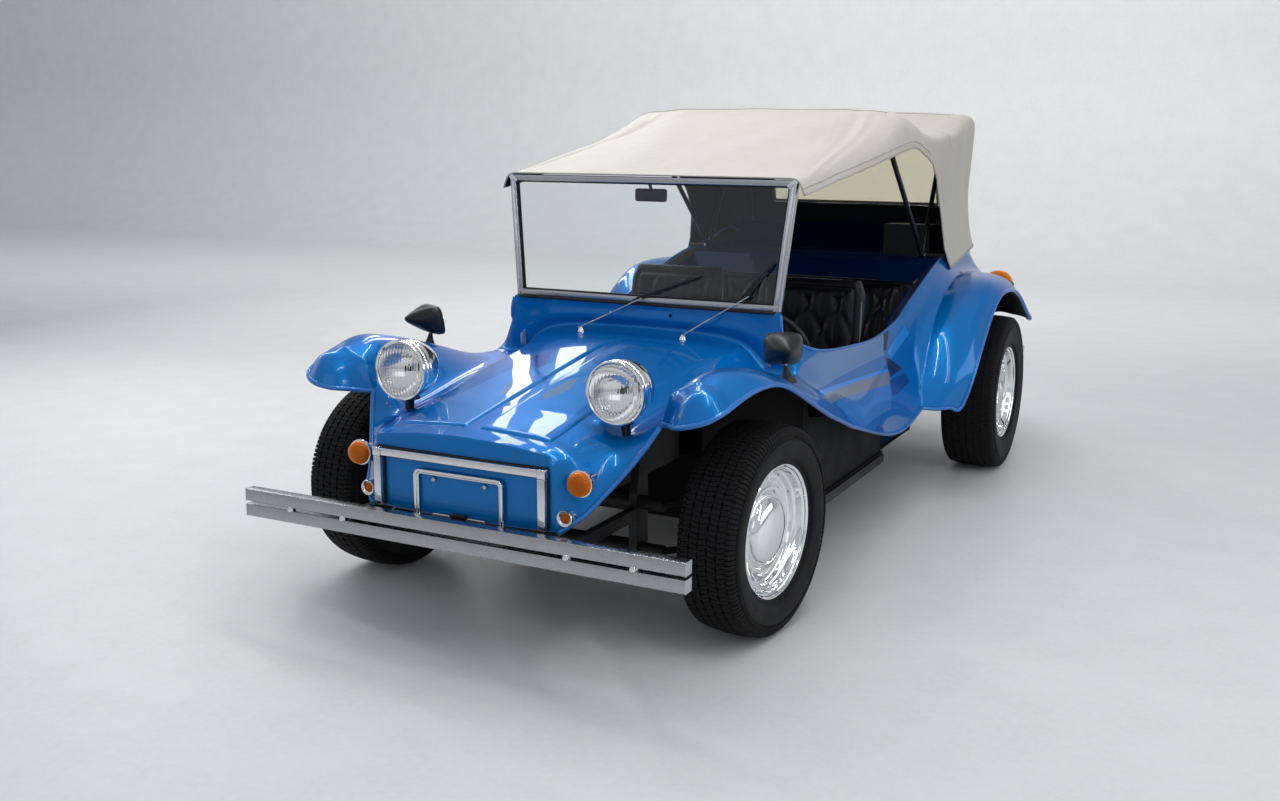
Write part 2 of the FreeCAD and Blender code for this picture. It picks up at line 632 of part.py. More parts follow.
FRONT_DISH = 42.0
REAR_DISH = 78.0
front_rim = wheel_at(rim(FRONT_RIM_W, FRONT_DISH, BACKPLATE_X + 5 - FRONT_TRACK_HALF),
                     FRONT_TRACK_HALF, 0, FRONT_TYRE_R)
front_tyre = wheel_at(tyre(FRONT_TYRE_R, FRONT_TYRE_W, FRONT_RIM_W), FRONT_TRACK_HALF, 0, FRONT_TYRE_R)
rear_rim = wheel_at(rim(REAR_RIM_W, REAR_DISH, REAR_PLATE_X + 5 - REAR_TRACK_HALF),
                    REAR_TRACK_HALF, REAR_Y, AXLE_Z)
rear_tyre = wheel_at(tyre(REAR_TYRE_R, REAR_TYRE_W, REAR_RIM_W), REAR_TRACK_HALF, REAR_Y, AXLE_Z)
save("rim_front_left", steered(front_rim, 1))
save("rim_front_right", steered(front_rim, -1))
save("tyre_front_left", steered(front_tyre, 1))
save("tyre_front_right", steered(front_tyre, -1))
save("rim_rear_left", rear_rim)
save("rim_rear_right", mirrored(rear_rim))
save("tyre_rear_left", rear_tyre)
save("tyre_rear_right", mirrored(rear_tyre))


# --------------------------------------------------------------- engine
CASE_REAR_Y = CASE_FRONT_Y + 310.0
case_line = ((-150, 300), (-90, 232), (90, 232), (150, 300), (150, 400), (90, 470), (-90, 470), (-150, 400))
case = along(case_line, CASE_FRONT_Y, CASE_REAR_Y)
oil_filler = rod((110, CASE_REAR_Y - 40, 400), (170, CASE_REAR_Y - 20, 520), 22)
FIN_COUNT = 7
barrels = []
for y in (CASE_FRONT_Y + 80, CASE_FRONT_Y + 210):
    fins = [(0, 150), (44, 150)]
    for k in range(FIN_COUNT):
        h = 158 + 16 * k
        fins += [(44, h), (56, h), (56, h + 8), (44, h + 8)]
    fins += [(44, 270), (0, 270)]
    barrels.append(turned(fins, (0, y, 330), (1, 0, 0)))
head = box(268, 350, CASE_FRONT_Y + 20, CASE_FRONT_Y + 270, 268, 392)
cover = box(350, 388, CASE_FRONT_Y + 40, CASE_FRONT_Y + 250, 280, 380)
bank = joined(barrels + [head, cover])
engine = joined([case, oil_filler, bank, mirrored(bank)])
save("engine", engine)

# Cooling: sheet-metal fan housing across the engine, generator and pulleys
SHROUD_Y0 = CASE_FRONT_Y + 110.0
SHROUD_Y1 = SHROUD_Y0 + 120.0
FAN_Z = 640.0
PULLEY_Y = CASE_REAR_Y + 60.0
shroud_line = [(-330, 394), (-330, 420), (-190, 500), (-170, 640), (-120, 740), (-50, 790),
               (50, 790), (120, 740), (170, 640), (190, 500), (330, 420), (330, 394)]
shroud_top = along(shroud_line + [(150, 400), (90, 470), (-90, 470), (-150, 400)], SHROUD_Y0, SHROUD_Y1)
fan_hole = rod((0, SHROUD_Y0 - 5, FAN_Z), (0, SHROUD_Y0 + 40, FAN_Z), 90)
generator = rod((0, SHROUD_Y1, FAN_Z), (0, PULLEY_Y, FAN_Z), 52)
stand = box(-30, 30, SHROUD_Y1 + 20, CASE_REAR_Y - 10, 470, 600)
gen_pulley = turned([(0, 0), (66, 0), (58, 12), (66, 24), (0, 24)], (0, PULLEY_Y, FAN_Z), (0, 1, 0))
save("fan_housing", joined([shroud_top.cut(fan_hole), generator, stand, gen_pulley]))
CRANK_Z = 350.0
PULLEY_R = 88.0
pulley_line = [
    (0, 0), (24, 0), (24, 30), (PULLEY_R, 30), (PULLEY_R - 12, 44), (PULLEY_R, 58), (0, 58),
]
save("crank_pulley", turned(pulley_line, (0, CASE_REAR_Y, CRANK_Z), (0, 1, 0)))

# Exhaust: four pipes into a cross-wise silencer with two tail pipes
SILENCER_Y = CASE_REAR_Y + 120.0
SILENCER_Z = 300.0
PIPE_R = 19.0
PORT_Y = CASE_FRONT_Y + 150.0
SILENCER_HALF = 310.0
SILENCER_R = 58.0
TAILPIPE_X = 200.0
TAIL_PIPE_R = 17.0
UPPER_PIPE_X = 300.0
LOWER_PIPE_X = 240.0
silencer = rod((-SILENCER_HALF, SILENCER_Y, SILENCER_Z), (SILENCER_HALF, SILENCER_Y, SILENCER_Z), SILENCER_R)
# columns: start, end and radius of each pipe on the left
PIPES = (
    ((TAILPIPE_X, SILENCER_Y + 30, SILENCER_Z), (TAILPIPE_X, SILENCER_Y + 110, SILENCER_Z - 20), TAIL_PIPE_R),
    ((UPPER_PIPE_X, PORT_Y + 110, 311), (UPPER_PIPE_X, SILENCER_Y, SILENCER_Z), PIPE_R),
    ((LOWER_PIPE_X, PORT_Y, 200), (LOWER_PIPE_X, SILENCER_Y, SILENCER_Z - 20), PIPE_R),
    ((LOWER_PIPE_X, PORT_Y, 190), (UPPER_PIPE_X, PORT_Y, 275), PIPE_R),
)
left_pipes = [rod(*row) for row in PIPES]
pipes = left_pipes + [mirrored(pipe) for pipe in left_pipes]
save("exhaust", joined([silencer] + pipes).cut(engine))

# ------------------------------------------------------------ windscreen
SCREEN_LEAN = (SCREEN_TOP_Y - SCREEN_LOW_Y) / (SCREEN_TOP_Z - SCREEN_LOW_Z)
SCREEN_FLARE = (SCREEN_TOP_HALF - SCREEN_LOW_HALF) / (SCREEN_TOP_Z - SCREEN_LOW_Z)


def screen_point(x_share, z, inset=0.0, y_off=0.0):
    """A point on the leaning windscreen plane."""
    up_by = z - SCREEN_LOW_Z
    half = SCREEN_LOW_HALF + up_by * SCREEN_FLARE - inset
    return V(x_share * half, SCREEN_LOW_Y + up_by * SCREEN_LEAN + y_off, z)


def screen_slab(low, high, inset, y_off, depth):
    pts = [screen_point(-1, low, inset, y_off), screen_point(1, low, inset, y_off),
           screen_point(1, high, inset, y_off), screen_point(-1, high, inset, y_off)]
    return Part.Face(Part.makePolygon(pts + [pts[0]])).extrude(V(0, depth, 0))


RAIL_Z = 24.0
FRAME_OUT = 2.0
outer = screen_slab(SCREEN_LOW_Z - 8, SCREEN_TOP_Z, -FRAME_OUT, -POST_D / 2, POST_D)
inner = screen_slab(SCREEN_LOW_Z - 8 + RAIL_Z, SCREEN_TOP_Z - RAIL_Z, POST_W - FRAME_OUT, -POST_D, 2 * POST_D)
foot = screen_slab(POST_FOOT_Z + 22, SCREEN_LOW_Z - 8, -FRAME_OUT, -POST_D / 2, POST_D)
foot = foot.cut(screen_slab(POST_FOOT_Z, SCREEN_LOW_Z, POST_W - FRAME_OUT, -POST_D, 2 * POST_D))
groove = screen_slab(SCREEN_LOW_Z + RAIL_Z - 16, SCREEN_TOP_Z - RAIL_Z + 8, POST_W - 10, -GLASS / 2, GLASS)
glass = screen_slab(SCREEN_LOW_Z + RAIL_Z - 16, SCREEN_TOP_Z - RAIL_Z + 8, POST_W - 10, -GLASS / 2, GLASS)
screen_frame = joined([outer.cut(inner), foot]).cut(groove)
cowl_solid = cowl()
screen_frame = screen_frame.cut(cowl_solid).cut(left_side).cut(mirrored(left_side))
screen_frame = screen_frame.cut(left_fender).cut(mirrored(left_fender))
save("windscreen_frame", Part.makeCompound([s for s in screen_frame.Solids if s.Volume > 1e4]))
save("windscreen_glass", glass)

# Wipers: pivot boss on the cowl, arm and blade. columns: pivot, elbow, blade ends
WIPERS = (
    ((-205, 490, 822), (10, 552, 925), (-30, 560, 915), (225, 572, 1010)),
    ((202, 490, 822), (420, 552, 955), (385, 556, 935), (496, 574, 1068)),
)
WIPER_BOSS_R = 11.0
WIPER_ARM_R = 4.0
WIPER_BLADE_R = 5.0
wiper_parts = []
for pivot, elbow, low, high in WIPERS:
    boss = rod((pivot[0], pivot[1] - 8, pivot[2]), (pivot[0], COWL_Y + CLEAR, pivot[2]), WIPER_BOSS_R)
    arm = rod(pivot, elbow, WIPER_ARM_R)
    blade = rod(low, high, WIPER_BLADE_R)
    link = rod(elbow, (V(*low) + V(*high)) * 0.5, WIPER_ARM_R)
    wiper_parts.append(joined([boss, arm, blade, link]))
save("wipers", Part.makeCompound(wiper_parts))

# ------------------------------------------------------------ fabric top
# Outer sections, two arcs a side. Planes lean back by `lean` for each
# millimetre below the bow height.
# columns: y, lean, inset, z of the crown, then x, z of shoulder, x of foot
TOP_FOOT_Z = 850.0
TOP_STATIONS = (
    (592, 0, 0, SCREEN_TOP_Z + FABRIC + 1.4, 578, SCREEN_TOP_Z + FABRIC + 0.4, 600),
    (850, 0, 0, BOW_Z - 172, 574, BOW_Z - 190, 606),
    (1250, 0, 0, BOW_Z - 80, 570, BOW_Z - 104, 616),
    (FRONT_BOW_Y, 0, 0, BOW_Z, 566, BOW_Z - 30, 622),
    (REAR_BOW_Y - 510, 0.02, 0, BOW_Z - 22, 574, BOW_Z - 84, 656),
    (REAR_BOW_Y, 0.12, 0, BOW_Z, 594, BOW_Z - 36, 684),
    (REAR_BOW_Y + 110, 0.26, 22, BOW_Z, 606, BOW_Z - 40, 708),
    (REAR_BOW_Y + 150, 0.32, 70, BOW_Z, 634, BOW_Z - 24, 756),
)


def top_section(row, extra, y_shift=0.0):
    y0, lean, inset, crown, xs, zs, xf = row
    drop = inset + extra

    def place(x, z):
        return V(x, y0 + y_shift + (BOW_Z - z) * lean, z)

    half_out = xs - drop
    shoulder = place(half_out, zs - drop)
    quarter = place(half_out * 0.52, crown - drop - (crown - zs) * 0.22)
    middle = place(0, crown - drop)
    mid_side = place((xs + xf) / 2 - drop + 13, (zs * 0.55 + TOP_FOOT_Z * 0.45))
    low = TOP_FOOT_Z - 3 * extra
    foot = place(xf - drop, low)

    def flip(p):
        return V(-p.x, p.y, p.z)

    edges = [
        Part.Arc(foot, mid_side, shoulder).toShape(),
        Part.Arc(shoulder, quarter, middle).toShape(),
        Part.Arc(middle, flip(quarter), flip(shoulder)).toShape(),
        Part.Arc(flip(shoulder), flip(mid_side), flip(foot)).toShape(),
        Part.makeLine(flip(foot), foot),
    ]
    return Part.Wire(edges)


outer_top = loft([top_section(row, 0) for row in TOP_STATIONS])
inner_rows = [top_section(row, FABRIC) for row in TOP_STATIONS[:-1]]
first = top_section(TOP_STATIONS[0], FABRIC, -20)
inner_rows = [first] + inner_rows + [top_section(TOP_STATIONS[-1], FABRIC, -FABRIC)]
inner_top = loft(inner_rows)
SIDE_OPENING = (
    (500, SCREEN_TOP_Z - 51), (650, SCREEN_TOP_Z - 47), (FRONT_BOW_Y, BOW_Z - 142),
    (REAR_Y - 500, BOW_Z - 138), (REAR_Y - 320, BOW_Z - 172), (REAR_Y - 170, BOW_Z - 254),
    (REAR_Y - 40, 1230), (REAR_Y + 30, 1110), (REAR_Y + 70, 985), (REAR_Y + 95, 905),
    (REAR_Y + 160, 905), (REAR_Y + 800, 1010), (REAR_Y + 800, 700), (500, 700),
)
WINDOW_HALF = 430.0
WINDOW_LOW_Z = 1165.0
WINDOW_HIGH_Z = BOW_Z - 164.0
fabric_top = outer_top.cut(inner_top).cut(across(SIDE_OPENING, -900, 900))
window_hole = box(-WINDOW_HALF, WINDOW_HALF, REAR_BOW_Y + 100, REAR_BOW_Y + 540, WINDOW_LOW_Z, WINDOW_HIGH_Z)
window = fabric_top.common(window_hole)
save("soft_top", fabric_top.cut(window_hole))
save("rear_window", window)

# Folding bows: hoops from a pivot on each hip, bowed up to the fabric
bows = []
BOW_HALF = 535.0
BOW_TOP_HALF = 530.0
BOW_TOP_Z = BOW_Z - 64
bow_crown_z = BOW_Z - FABRIC - BOW_R - 2 * CLEAR
for y_top in (FRONT_BOW_Y, REAR_BOW_Y - 10):
    end = (BOW_TOP_HALF, y_top, BOW_TOP_Z)
    leg = rod((BOW_HALF, TOP_PIVOT_Y, TOP_PIVOT_Z), end, BOW_R)
    arc = Part.Arc(V(-BOW_TOP_HALF, y_top, BOW_TOP_Z), V(0, y_top, bow_crown_z), V(*end)).toShape()
    start = arc.valueAt(arc.FirstParameter)
    ring = Part.Wire(Part.makeCircle(BOW_R, start, arc.tangentAt(arc.FirstParameter)))
    bar = Part.Wire(arc).makePipe(Part.Face(ring))
    ball = Part.makeSphere(BOW_R + 1, V(*end))
    bows += [leg, mirrored(leg), bar, ball, mirrored(ball)]
pivot = rod((BOW_HALF - 12, TOP_PIVOT_Y, TOP_PIVOT_Z), (640, TOP_PIVOT_Y, TOP_PIVOT_Z), 12)
pivot = pivot.cut(left_side)
pivot = min(pivot.Solids, key=lambda s: s.BoundBox.XMin)
bows += [pivot, mirrored(pivot)]
save("top_bows", joined(bows).cut(tub))

# ------------------------------------------------------- cabin fittings
DASH_HALF = 476.0
DASH_FRONT_Y = COWL_Y + CLEAR + SKIN
dash_line = (
    (DASH_FRONT_Y, 700), (DASH_FRONT_Y + 45, 690), (DASH_FRONT_Y + 75, 720),
    (DASH_FRONT_Y + 85, 800), (DASH_FRONT_Y + 65, 880), (DASH_FRONT_Y, 892),
)
save("dash", across(dash_line, -DASH_HALF, DASH_HALF).cut(cowl_solid))

SEAT_X = PAN_HALF - 270.0       # the driver sits square to the steering wheel
WHEEL_CENTRE = (SEAT_X, 930, 715)
WHEEL_R = 165.0
WHEEL_GRIP_R = 12.0
WHEEL_HUB_R = 30.0
SPOKE_R = 7.0
HUB_BACK = 20.0
COLUMN_R = 19.0
COLUMN_END = (SEAT_X, 652, 572)
unit = (V(*WHEEL_CENTRE) - V(*COLUMN_END)).normalize()
column = rod(COLUMN_END, V(*WHEEL_CENTRE) - unit * (HUB_BACK + CLEAR), COLUMN_R)
toe_link = rod((SEAT_X, PAN_FRONT_Y - 6, 403), COLUMN_END, 14).cut(footwell)
toe_link = max(toe_link.Solids, key=lambda s: s.BoundBox.YMax)
save("steering_column", joined([column, toe_link]))
rim_ring = Part.makeTorus(WHEEL_R, WHEEL_GRIP_R, V(*WHEEL_CENTRE), unit)
hub = Part.makeCylinder(WHEEL_HUB_R, HUB_BACK + 2, V(*WHEEL_CENTRE) - unit * HUB_BACK, unit)
side_dir = V(1, 0, 0)
low_dir = unit.cross(side_dir)
spokes = []
for angle in (0, 180, 270):
    a = math.radians(angle)
    way = side_dir * math.cos(a) + low_dir * math.sin(a)
    spokes.append(rod(WHEEL_CENTRE, V(*WHEEL_CENTRE) + way * (WHEEL_R - 5), SPOKE_R))
save("steering_wheel", joined([rim_ring, hub] + spokes))

SHIFT_Y = 930.0
SHIFT_H = 260.0
KNOB_R = 20.0
shift_boot = rod((0, SHIFT_Y, TUNNEL_TOP), (0, SHIFT_Y, TUNNEL_TOP + 20), 34)
shift_rod = rod((0, SHIFT_Y + 1, TUNNEL_TOP + 5), (0, SHIFT_Y + 30, TUNNEL_TOP + SHIFT_H), 7)
knob = Part.makeSphere(KNOB_R, V(0, SHIFT_Y + 32, TUNNEL_TOP + SHIFT_H + 10))
shifter = joined([shift_boot, shift_rod, knob])
BRAKE_Y = SHIFT_Y + 150.0
brake_mount = box(-12, 12, BRAKE_Y, BRAKE_Y + 50, TUNNEL_TOP, TUNNEL_TOP + 40)
brake_grip = rod((0, BRAKE_Y + 30, TUNNEL_TOP + 30), (0, BRAKE_Y - 60, TUNNEL_TOP + 140), 10)
save("levers", Part.makeCompound([shifter, joined([brake_mount, brake_grip])]))

# Seats: cushion and back as one closed soft solid on a plain frame
SEAT_HALF = 240.0
SEAT_FEET_X = 170.0
SEAT_FEET_HALF = 15.0
SEAT_FEET_H = 40.0
FLOOR_Z = PAN_Z + PAN_WALL
seat_line = ((0, 0), (20, 135), (400, 95), (430, 160), (530, 696), (604, 682), (560, 120), (520, 0))
# columns: node, middle of the seat and its front edge
SEATS = (
    ("seat_left", SEAT_X, 850.0),
    ("seat_right", -SEAT_X, 1040.0),
)
for name, x, y in SEATS:
    outline = [(y + a, FLOOR_Z + SEAT_FEET_H + b) for a, b in seat_line]
    pieces = [across(outline, x - SEAT_HALF, x + SEAT_HALF)]
    for foot_x in (x - SEAT_FEET_X, x + SEAT_FEET_X):
        low_x, high_x = foot_x - SEAT_FEET_HALF, foot_x + SEAT_FEET_HALF
        pieces.append(box(low_x, high_x, y + 60, y + 520, FLOOR_Z, FLOOR_Z + SEAT_FEET_H))
    save(name, joined(pieces))
BENCH_HALF = TUB_HALF - 12.0
BENCH_Z = FLOOR_Z
BENCH_FRONT_Y = REAR_Y - 710.0
bench_line = (
    (BENCH_FRONT_Y + 10, BENCH_Z), (BENCH_FRONT_Y, 440), (REAR_Y - 390, 400), (REAR_Y - 250, 860),
    (REAR_Y - 154.5, 845), (REAR_Y - 345, 424), (REAR_Y - 366, BENCH_Z),
)
tunnel_room = box(-TUNNEL_HALF - 3, TUNNEL_HALF + 3, BENCH_FRONT_Y, REAR_Y, PAN_Z, TUNNEL_TOP + 3)
save("rear_bench", across(bench_line, -BENCH_HALF, BENCH_HALF).cut(tunnel_room))
CRATE_FRONT_Y = REAR_Y + 100.0
CRATE_REAR_Y = CRATE_FRONT_Y + 200.0
CRATE_H = 140.0
crate_corners = ((CRATE_FRONT_Y, 0), (CRATE_REAR_Y, 0), (CRATE_REAR_Y, CRATE_H), (CRATE_FRONT_Y, CRATE_H))
crate_line = [(y, shelf_top(y) + CLEAR + rise) for y, rise in crate_corners]
save("luggage_box", across(crate_line, TUB_HALF - 296, TUB_HALF - 76))

# ---------------------------------------------------- nose and bumpers
TRIM_Y = -590.0
TRIM_LOW_Z, TRIM_HIGH_Z = 414.0, 590.0
nose_face_y = NOSE_Y - SKIN
trim = box(-298, 298, TRIM_Y, nose_face_y, TRIM_LOW_Z, TRIM_HIGH_Z)
trim = trim.cut(box(-270, 270, TRIM_Y - 1, nose_face_y + 1, TRIM_LOW_Z - 1, TRIM_HIGH_Z - 26))
save("nose_trim", trim)
PLATE_HALF = 153.0
plate = box(-PLATE_HALF, PLATE_HALF, nose_face_y - 16, nose_face_y, 387, 538)
plate = plate.cut(box(-PLATE_HALF + 13, PLATE_HALF - 13, nose_face_y - 17, nose_face_y - 5, 400, 525))
for x in (-PLATE_BOLT_X, PLATE_BOLT_X):
    plate = plate.cut(rod((x, nose_face_y - 20, PLATE_BOLT_Z), (x, nose_face_y, PLATE_BOLT_Z), PLATE_BOLT_R))
save("plate_frame", plate)

def bumper_bars(half, front_y, low_z):
    """Two level square bars, one above the other."""
    bars = []
    for z in (low_z, low_z + BUMPER_BAR + BUMPER_GAP):
        bars.append(box(-half, half, front_y, front_y + BUMPER_BAR, z, z + BUMPER_BAR))
    return bars


bars_back_y = FRONT_BUMPER_Y + BUMPER_BAR
bars_high_z = FRONT_BUMPER_LOW_Z + 2 * BUMPER_BAR + BUMPER_GAP
left_stays = [box(BEAM_HALF, BEAM_HALF + TOWER_W, bars_back_y, BEAM_Y - 38, 352, 390)]
for x in (190, 290):
    left_stays.append(box(x, x + 12, bars_back_y, bars_back_y + 10, FRONT_BUMPER_LOW_Z, bars_high_z))
front_bars = bumper_bars(FRONT_BUMPER_HALF, FRONT_BUMPER_Y, FRONT_BUMPER_LOW_Z)
save("front_bumper", joined(front_bars + left_stays + [mirrored(stay) for stay in left_stays]))

rear_bars = bumper_bars(REAR_BUMPER_HALF, REAR_BUMPER_Y - BUMPER_BAR, REAR_BUMPER_LOW_Z)
# An angle bracket each side, bolted to the panel across the back
BACK_Y = TUB_LINE[-1][0]    # lower edge of the panel across the back
BAR_FRONT_Y = REAR_BUMPER_Y - BUMPER_BAR
stay_line = (
    (BACK_Y + 2, 690), (BACK_Y + 19, 690), (BACK_Y + 19, REAR_BUMPER_LOW_Z + 66),
    (BAR_FRONT_Y, REAR_BUMPER_LOW_Z + 66), (BAR_FRONT_Y, REAR_BUMPER_LOW_Z + 20),
    (BACK_Y + 5, REAR_BUMPER_LOW_Z + 20), (BACK_Y + 2, 500),
)
stay = across(stay_line, 420, 450).cut(tub)
save("rear_bumper", joined(rear_bars + [stay, mirrored(stay)]))

# ---------------------------------------------------------------- lamps
HEAD_X, HEAD_Y, HEAD_Z = 382.0, -337.0, 770.0
HEAD_R = 95.0
shell_profile = [
    (0, 0), (HEAD_R, 0), (HEAD_R, 22), (HEAD_R - 6, 60), (HEAD_R - 26, 100), (HEAD_R - 56, 128), (0, 140),
]
shell = turned(shell_profile, (HEAD_X, HEAD_Y + 4, HEAD_Z), (0, 1, 0))
stalk = rod((HEAD_X + 4, HEAD_Y + 52, HEAD_Z - 82), (HEAD_X + 12, HEAD_Y + 56, 600), 17)
stalk = stalk.cut(left_fender)
stalk = max(stalk.Solids, key=lambda s: s.BoundBox.ZMax)
head_shell = joined([shell, stalk])
save("headlamp_shells", both(head_shell))
lens = turned([(0, -16), (40, -13), (70, -6), (HEAD_R - 10, 4), (0, 4)], (HEAD_X, HEAD_Y, HEAD_Z), (0, 1, 0))
save("headlamp_lenses", both(lens))

SIGNAL_X, SIGNAL_Y, SIGNAL_Z = 383.0, -561.0, 552.0
SIGNAL_R = 38.0
signal_line = [
    (0, 0), (SIGNAL_R - 12, 2), (SIGNAL_R, 12), (SIGNAL_R, 26), (SIGNAL_R - 6, 40), (0, 40),
]
SMALL_X, SMALL_Y, SMALL_Z = 343.0, -562.0, 451.0
SMALL_R = 23.0
small_line = [(0, 0), (SMALL_R - 7, 2), (SMALL_R, 6), (SMALL_R, 30), (0, 30)]


def front_piece(shape):
    return min(shape.Solids, key=lambda s: s.BoundBox.YMin)


def leg_lamp(line, front, base_front, base_rear, base_r):
    """A round lamp on a stub from the leg of the left fender."""
    base = front_piece(rod(base_front, base_rear, base_r).cut(left_fender))
    return front_piece(joined([turned(line, front, (0, 1, 0)), base]).cut(left_fender))


signal_lamp = leg_lamp(signal_line, (SIGNAL_X, SIGNAL_Y, SIGNAL_Z), (SIGNAL_X, SIGNAL_Y + 40, SIGNAL_Z),
                       (SIGNAL_X - 10, SIGNAL_Y + 140, SIGNAL_Z), SIGNAL_R - 18)
save("signal_lamps", both(signal_lamp))
small_lamp = leg_lamp(small_line, (SMALL_X, SMALL_Y, SMALL_Z), (SMALL_X, SMALL_Y + 30, SMALL_Z),
                      (SMALL_X - 8, SMALL_Y + 92, SMALL_Z), SMALL_R - 11)
save("small_lamps", both(small_lamp))
MARKER_X = 812.0
MARKER_Z = 812.0
marker = turned([(0, 0), (52, 0), (52, 10), (42, 30), (20, 42), (0, 44)], (0, 0, 0), (0, 0, 1))
marker.rotate(V(0, 0, 0), V(1, 0, 0), -14)
marker.translate(V(MARKER_X, REAR_Y + 290, MARKER_Z))
marker = max(marker.cut(left_rear).Solids, key=lambda s: s.BoundBox.ZMax)
save("rear_marker_lamps", both(marker))
TAIL_X = 440.0
TAIL_Z = 740.0
tail = turned([(0, 0), (46, 0), (46, 20), (34, 34), (0, 38)], (0, 0, 0), (0, 1, 0))
tail.translate(V(TAIL_X, BACK_Y, TAIL_Z))
tail = tail.cut(tub)
save("tail_lamps", both(max(tail.Solids, key=lambda s: s.Volume)))

# -------------------------------------------------------------- mirrors
MIRROR_X, MIRROR_Y, MIRROR_Z = 676.0, 225.0, 842.0
MIRROR_R = 62.0
MIRROR_STEM_R = 9.0
mirror_head = Part.makeSphere(MIRROR_R, V(0, 0, 0))
squash = FreeCAD.Matrix()
squash.scale(1.15, 0.75, 0.78)
mirror_head = mirror_head.transformGeometry(squash)
mirror_head.translate(V(MIRROR_X, MIRROR_Y, MIRROR_Z))
stem_top = (MIRROR_X + 6, MIRROR_Y + 1, MIRROR_Z - 36)
mirror_stem = rod((MIRROR_X + 18, MIRROR_Y + 7, 700), stem_top, MIRROR_STEM_R).cut(left_fender)
mirror_stem = max(mirror_stem.Solids, key=lambda s: s.BoundBox.ZMax)
save("outside_mirrors", both(joined([mirror_head, mirror_stem])))
inside = box(-62, 62, 628, 646, 1262, 1306)
inside_stem = rod((0, 637, 1300), (0, SCREEN_TOP_Y, 1345), 6)
inside_mirror = joined([inside, inside_stem]).cut(screen_frame).cut(glass)
save("inside_mirror", max(inside_mirror.Solids, key=lambda s: s.Volume))
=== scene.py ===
import json
import math

import bmesh
import bpy
import numpy as np
from mathutils import Matrix, Vector
from mathutils.bvhtree import BVHTree

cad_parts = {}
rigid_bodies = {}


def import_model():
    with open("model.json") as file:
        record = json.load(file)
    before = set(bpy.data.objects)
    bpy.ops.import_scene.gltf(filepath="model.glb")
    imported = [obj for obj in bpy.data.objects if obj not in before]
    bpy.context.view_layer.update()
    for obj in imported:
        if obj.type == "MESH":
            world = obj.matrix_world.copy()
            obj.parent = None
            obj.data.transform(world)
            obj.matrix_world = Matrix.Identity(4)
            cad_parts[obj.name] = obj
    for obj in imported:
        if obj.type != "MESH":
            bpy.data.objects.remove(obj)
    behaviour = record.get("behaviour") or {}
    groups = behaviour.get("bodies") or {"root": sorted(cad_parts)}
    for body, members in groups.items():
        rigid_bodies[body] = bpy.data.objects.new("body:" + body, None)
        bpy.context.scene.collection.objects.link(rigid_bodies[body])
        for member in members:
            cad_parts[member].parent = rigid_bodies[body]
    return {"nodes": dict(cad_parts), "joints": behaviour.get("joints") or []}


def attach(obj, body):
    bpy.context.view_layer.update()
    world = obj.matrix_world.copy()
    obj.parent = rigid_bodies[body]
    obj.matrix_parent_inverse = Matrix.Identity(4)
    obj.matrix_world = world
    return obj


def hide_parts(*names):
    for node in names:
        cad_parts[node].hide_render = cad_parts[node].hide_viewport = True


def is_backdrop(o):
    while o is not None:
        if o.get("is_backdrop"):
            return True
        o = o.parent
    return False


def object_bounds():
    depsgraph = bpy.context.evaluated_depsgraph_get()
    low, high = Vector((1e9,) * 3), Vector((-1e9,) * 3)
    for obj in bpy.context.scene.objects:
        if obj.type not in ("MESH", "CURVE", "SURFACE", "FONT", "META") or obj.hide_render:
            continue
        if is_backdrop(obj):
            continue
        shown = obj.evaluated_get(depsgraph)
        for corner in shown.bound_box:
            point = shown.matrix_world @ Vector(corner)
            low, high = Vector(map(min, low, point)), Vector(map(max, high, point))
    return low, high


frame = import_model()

bl_info = {
    "name": "Dune buggy",
    "version": (1, 0, 0),
    "blender": (4, 5, 0),
    "location": "3D View > Sidebar > Buggy",
    "description": "Dresses the packed dune buggy with its finishes and soft goods",
    "category": "Object",
}

CAD_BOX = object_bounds()
MM = 0.001
JOINTS = {joint["name"]: joint for joint in frame["joints"]}
FRONT_AXLE_Y = JOINTS["steer_left"]["pos_m"][1]
REAR_AXLE = Vector(JOINTS["spin_rear_left"]["pos_m"])
PI = math.pi


def at(x, y, z):
    """A place given in millimetres with y counted from the front axle."""
    return Vector((x * MM, y * MM + FRONT_AXLE_Y, z * MM))


# ------------------------------------------------------------ node helpers
def plug(tree, socket, source):
    """Link an output to a socket, or set the socket's constant."""
    if hasattr(source, "is_output"):
        tree.links.new(source, socket)
    else:
        socket.default_value = source


def add_node(tree, kind, links=(), **settings):
    made = tree.nodes.new(kind)
    for key, value in settings.items():
        setattr(made, key, value)
    for socket, source in links:
        plug(tree, made.inputs[socket], source)
    return made


def opaque(colour):
    return (*colour, 1.0) if isinstance(colour, tuple) and len(colour) == 3 else colour


def shade_of(colour, share):
    return tuple(c * share for c in colour)


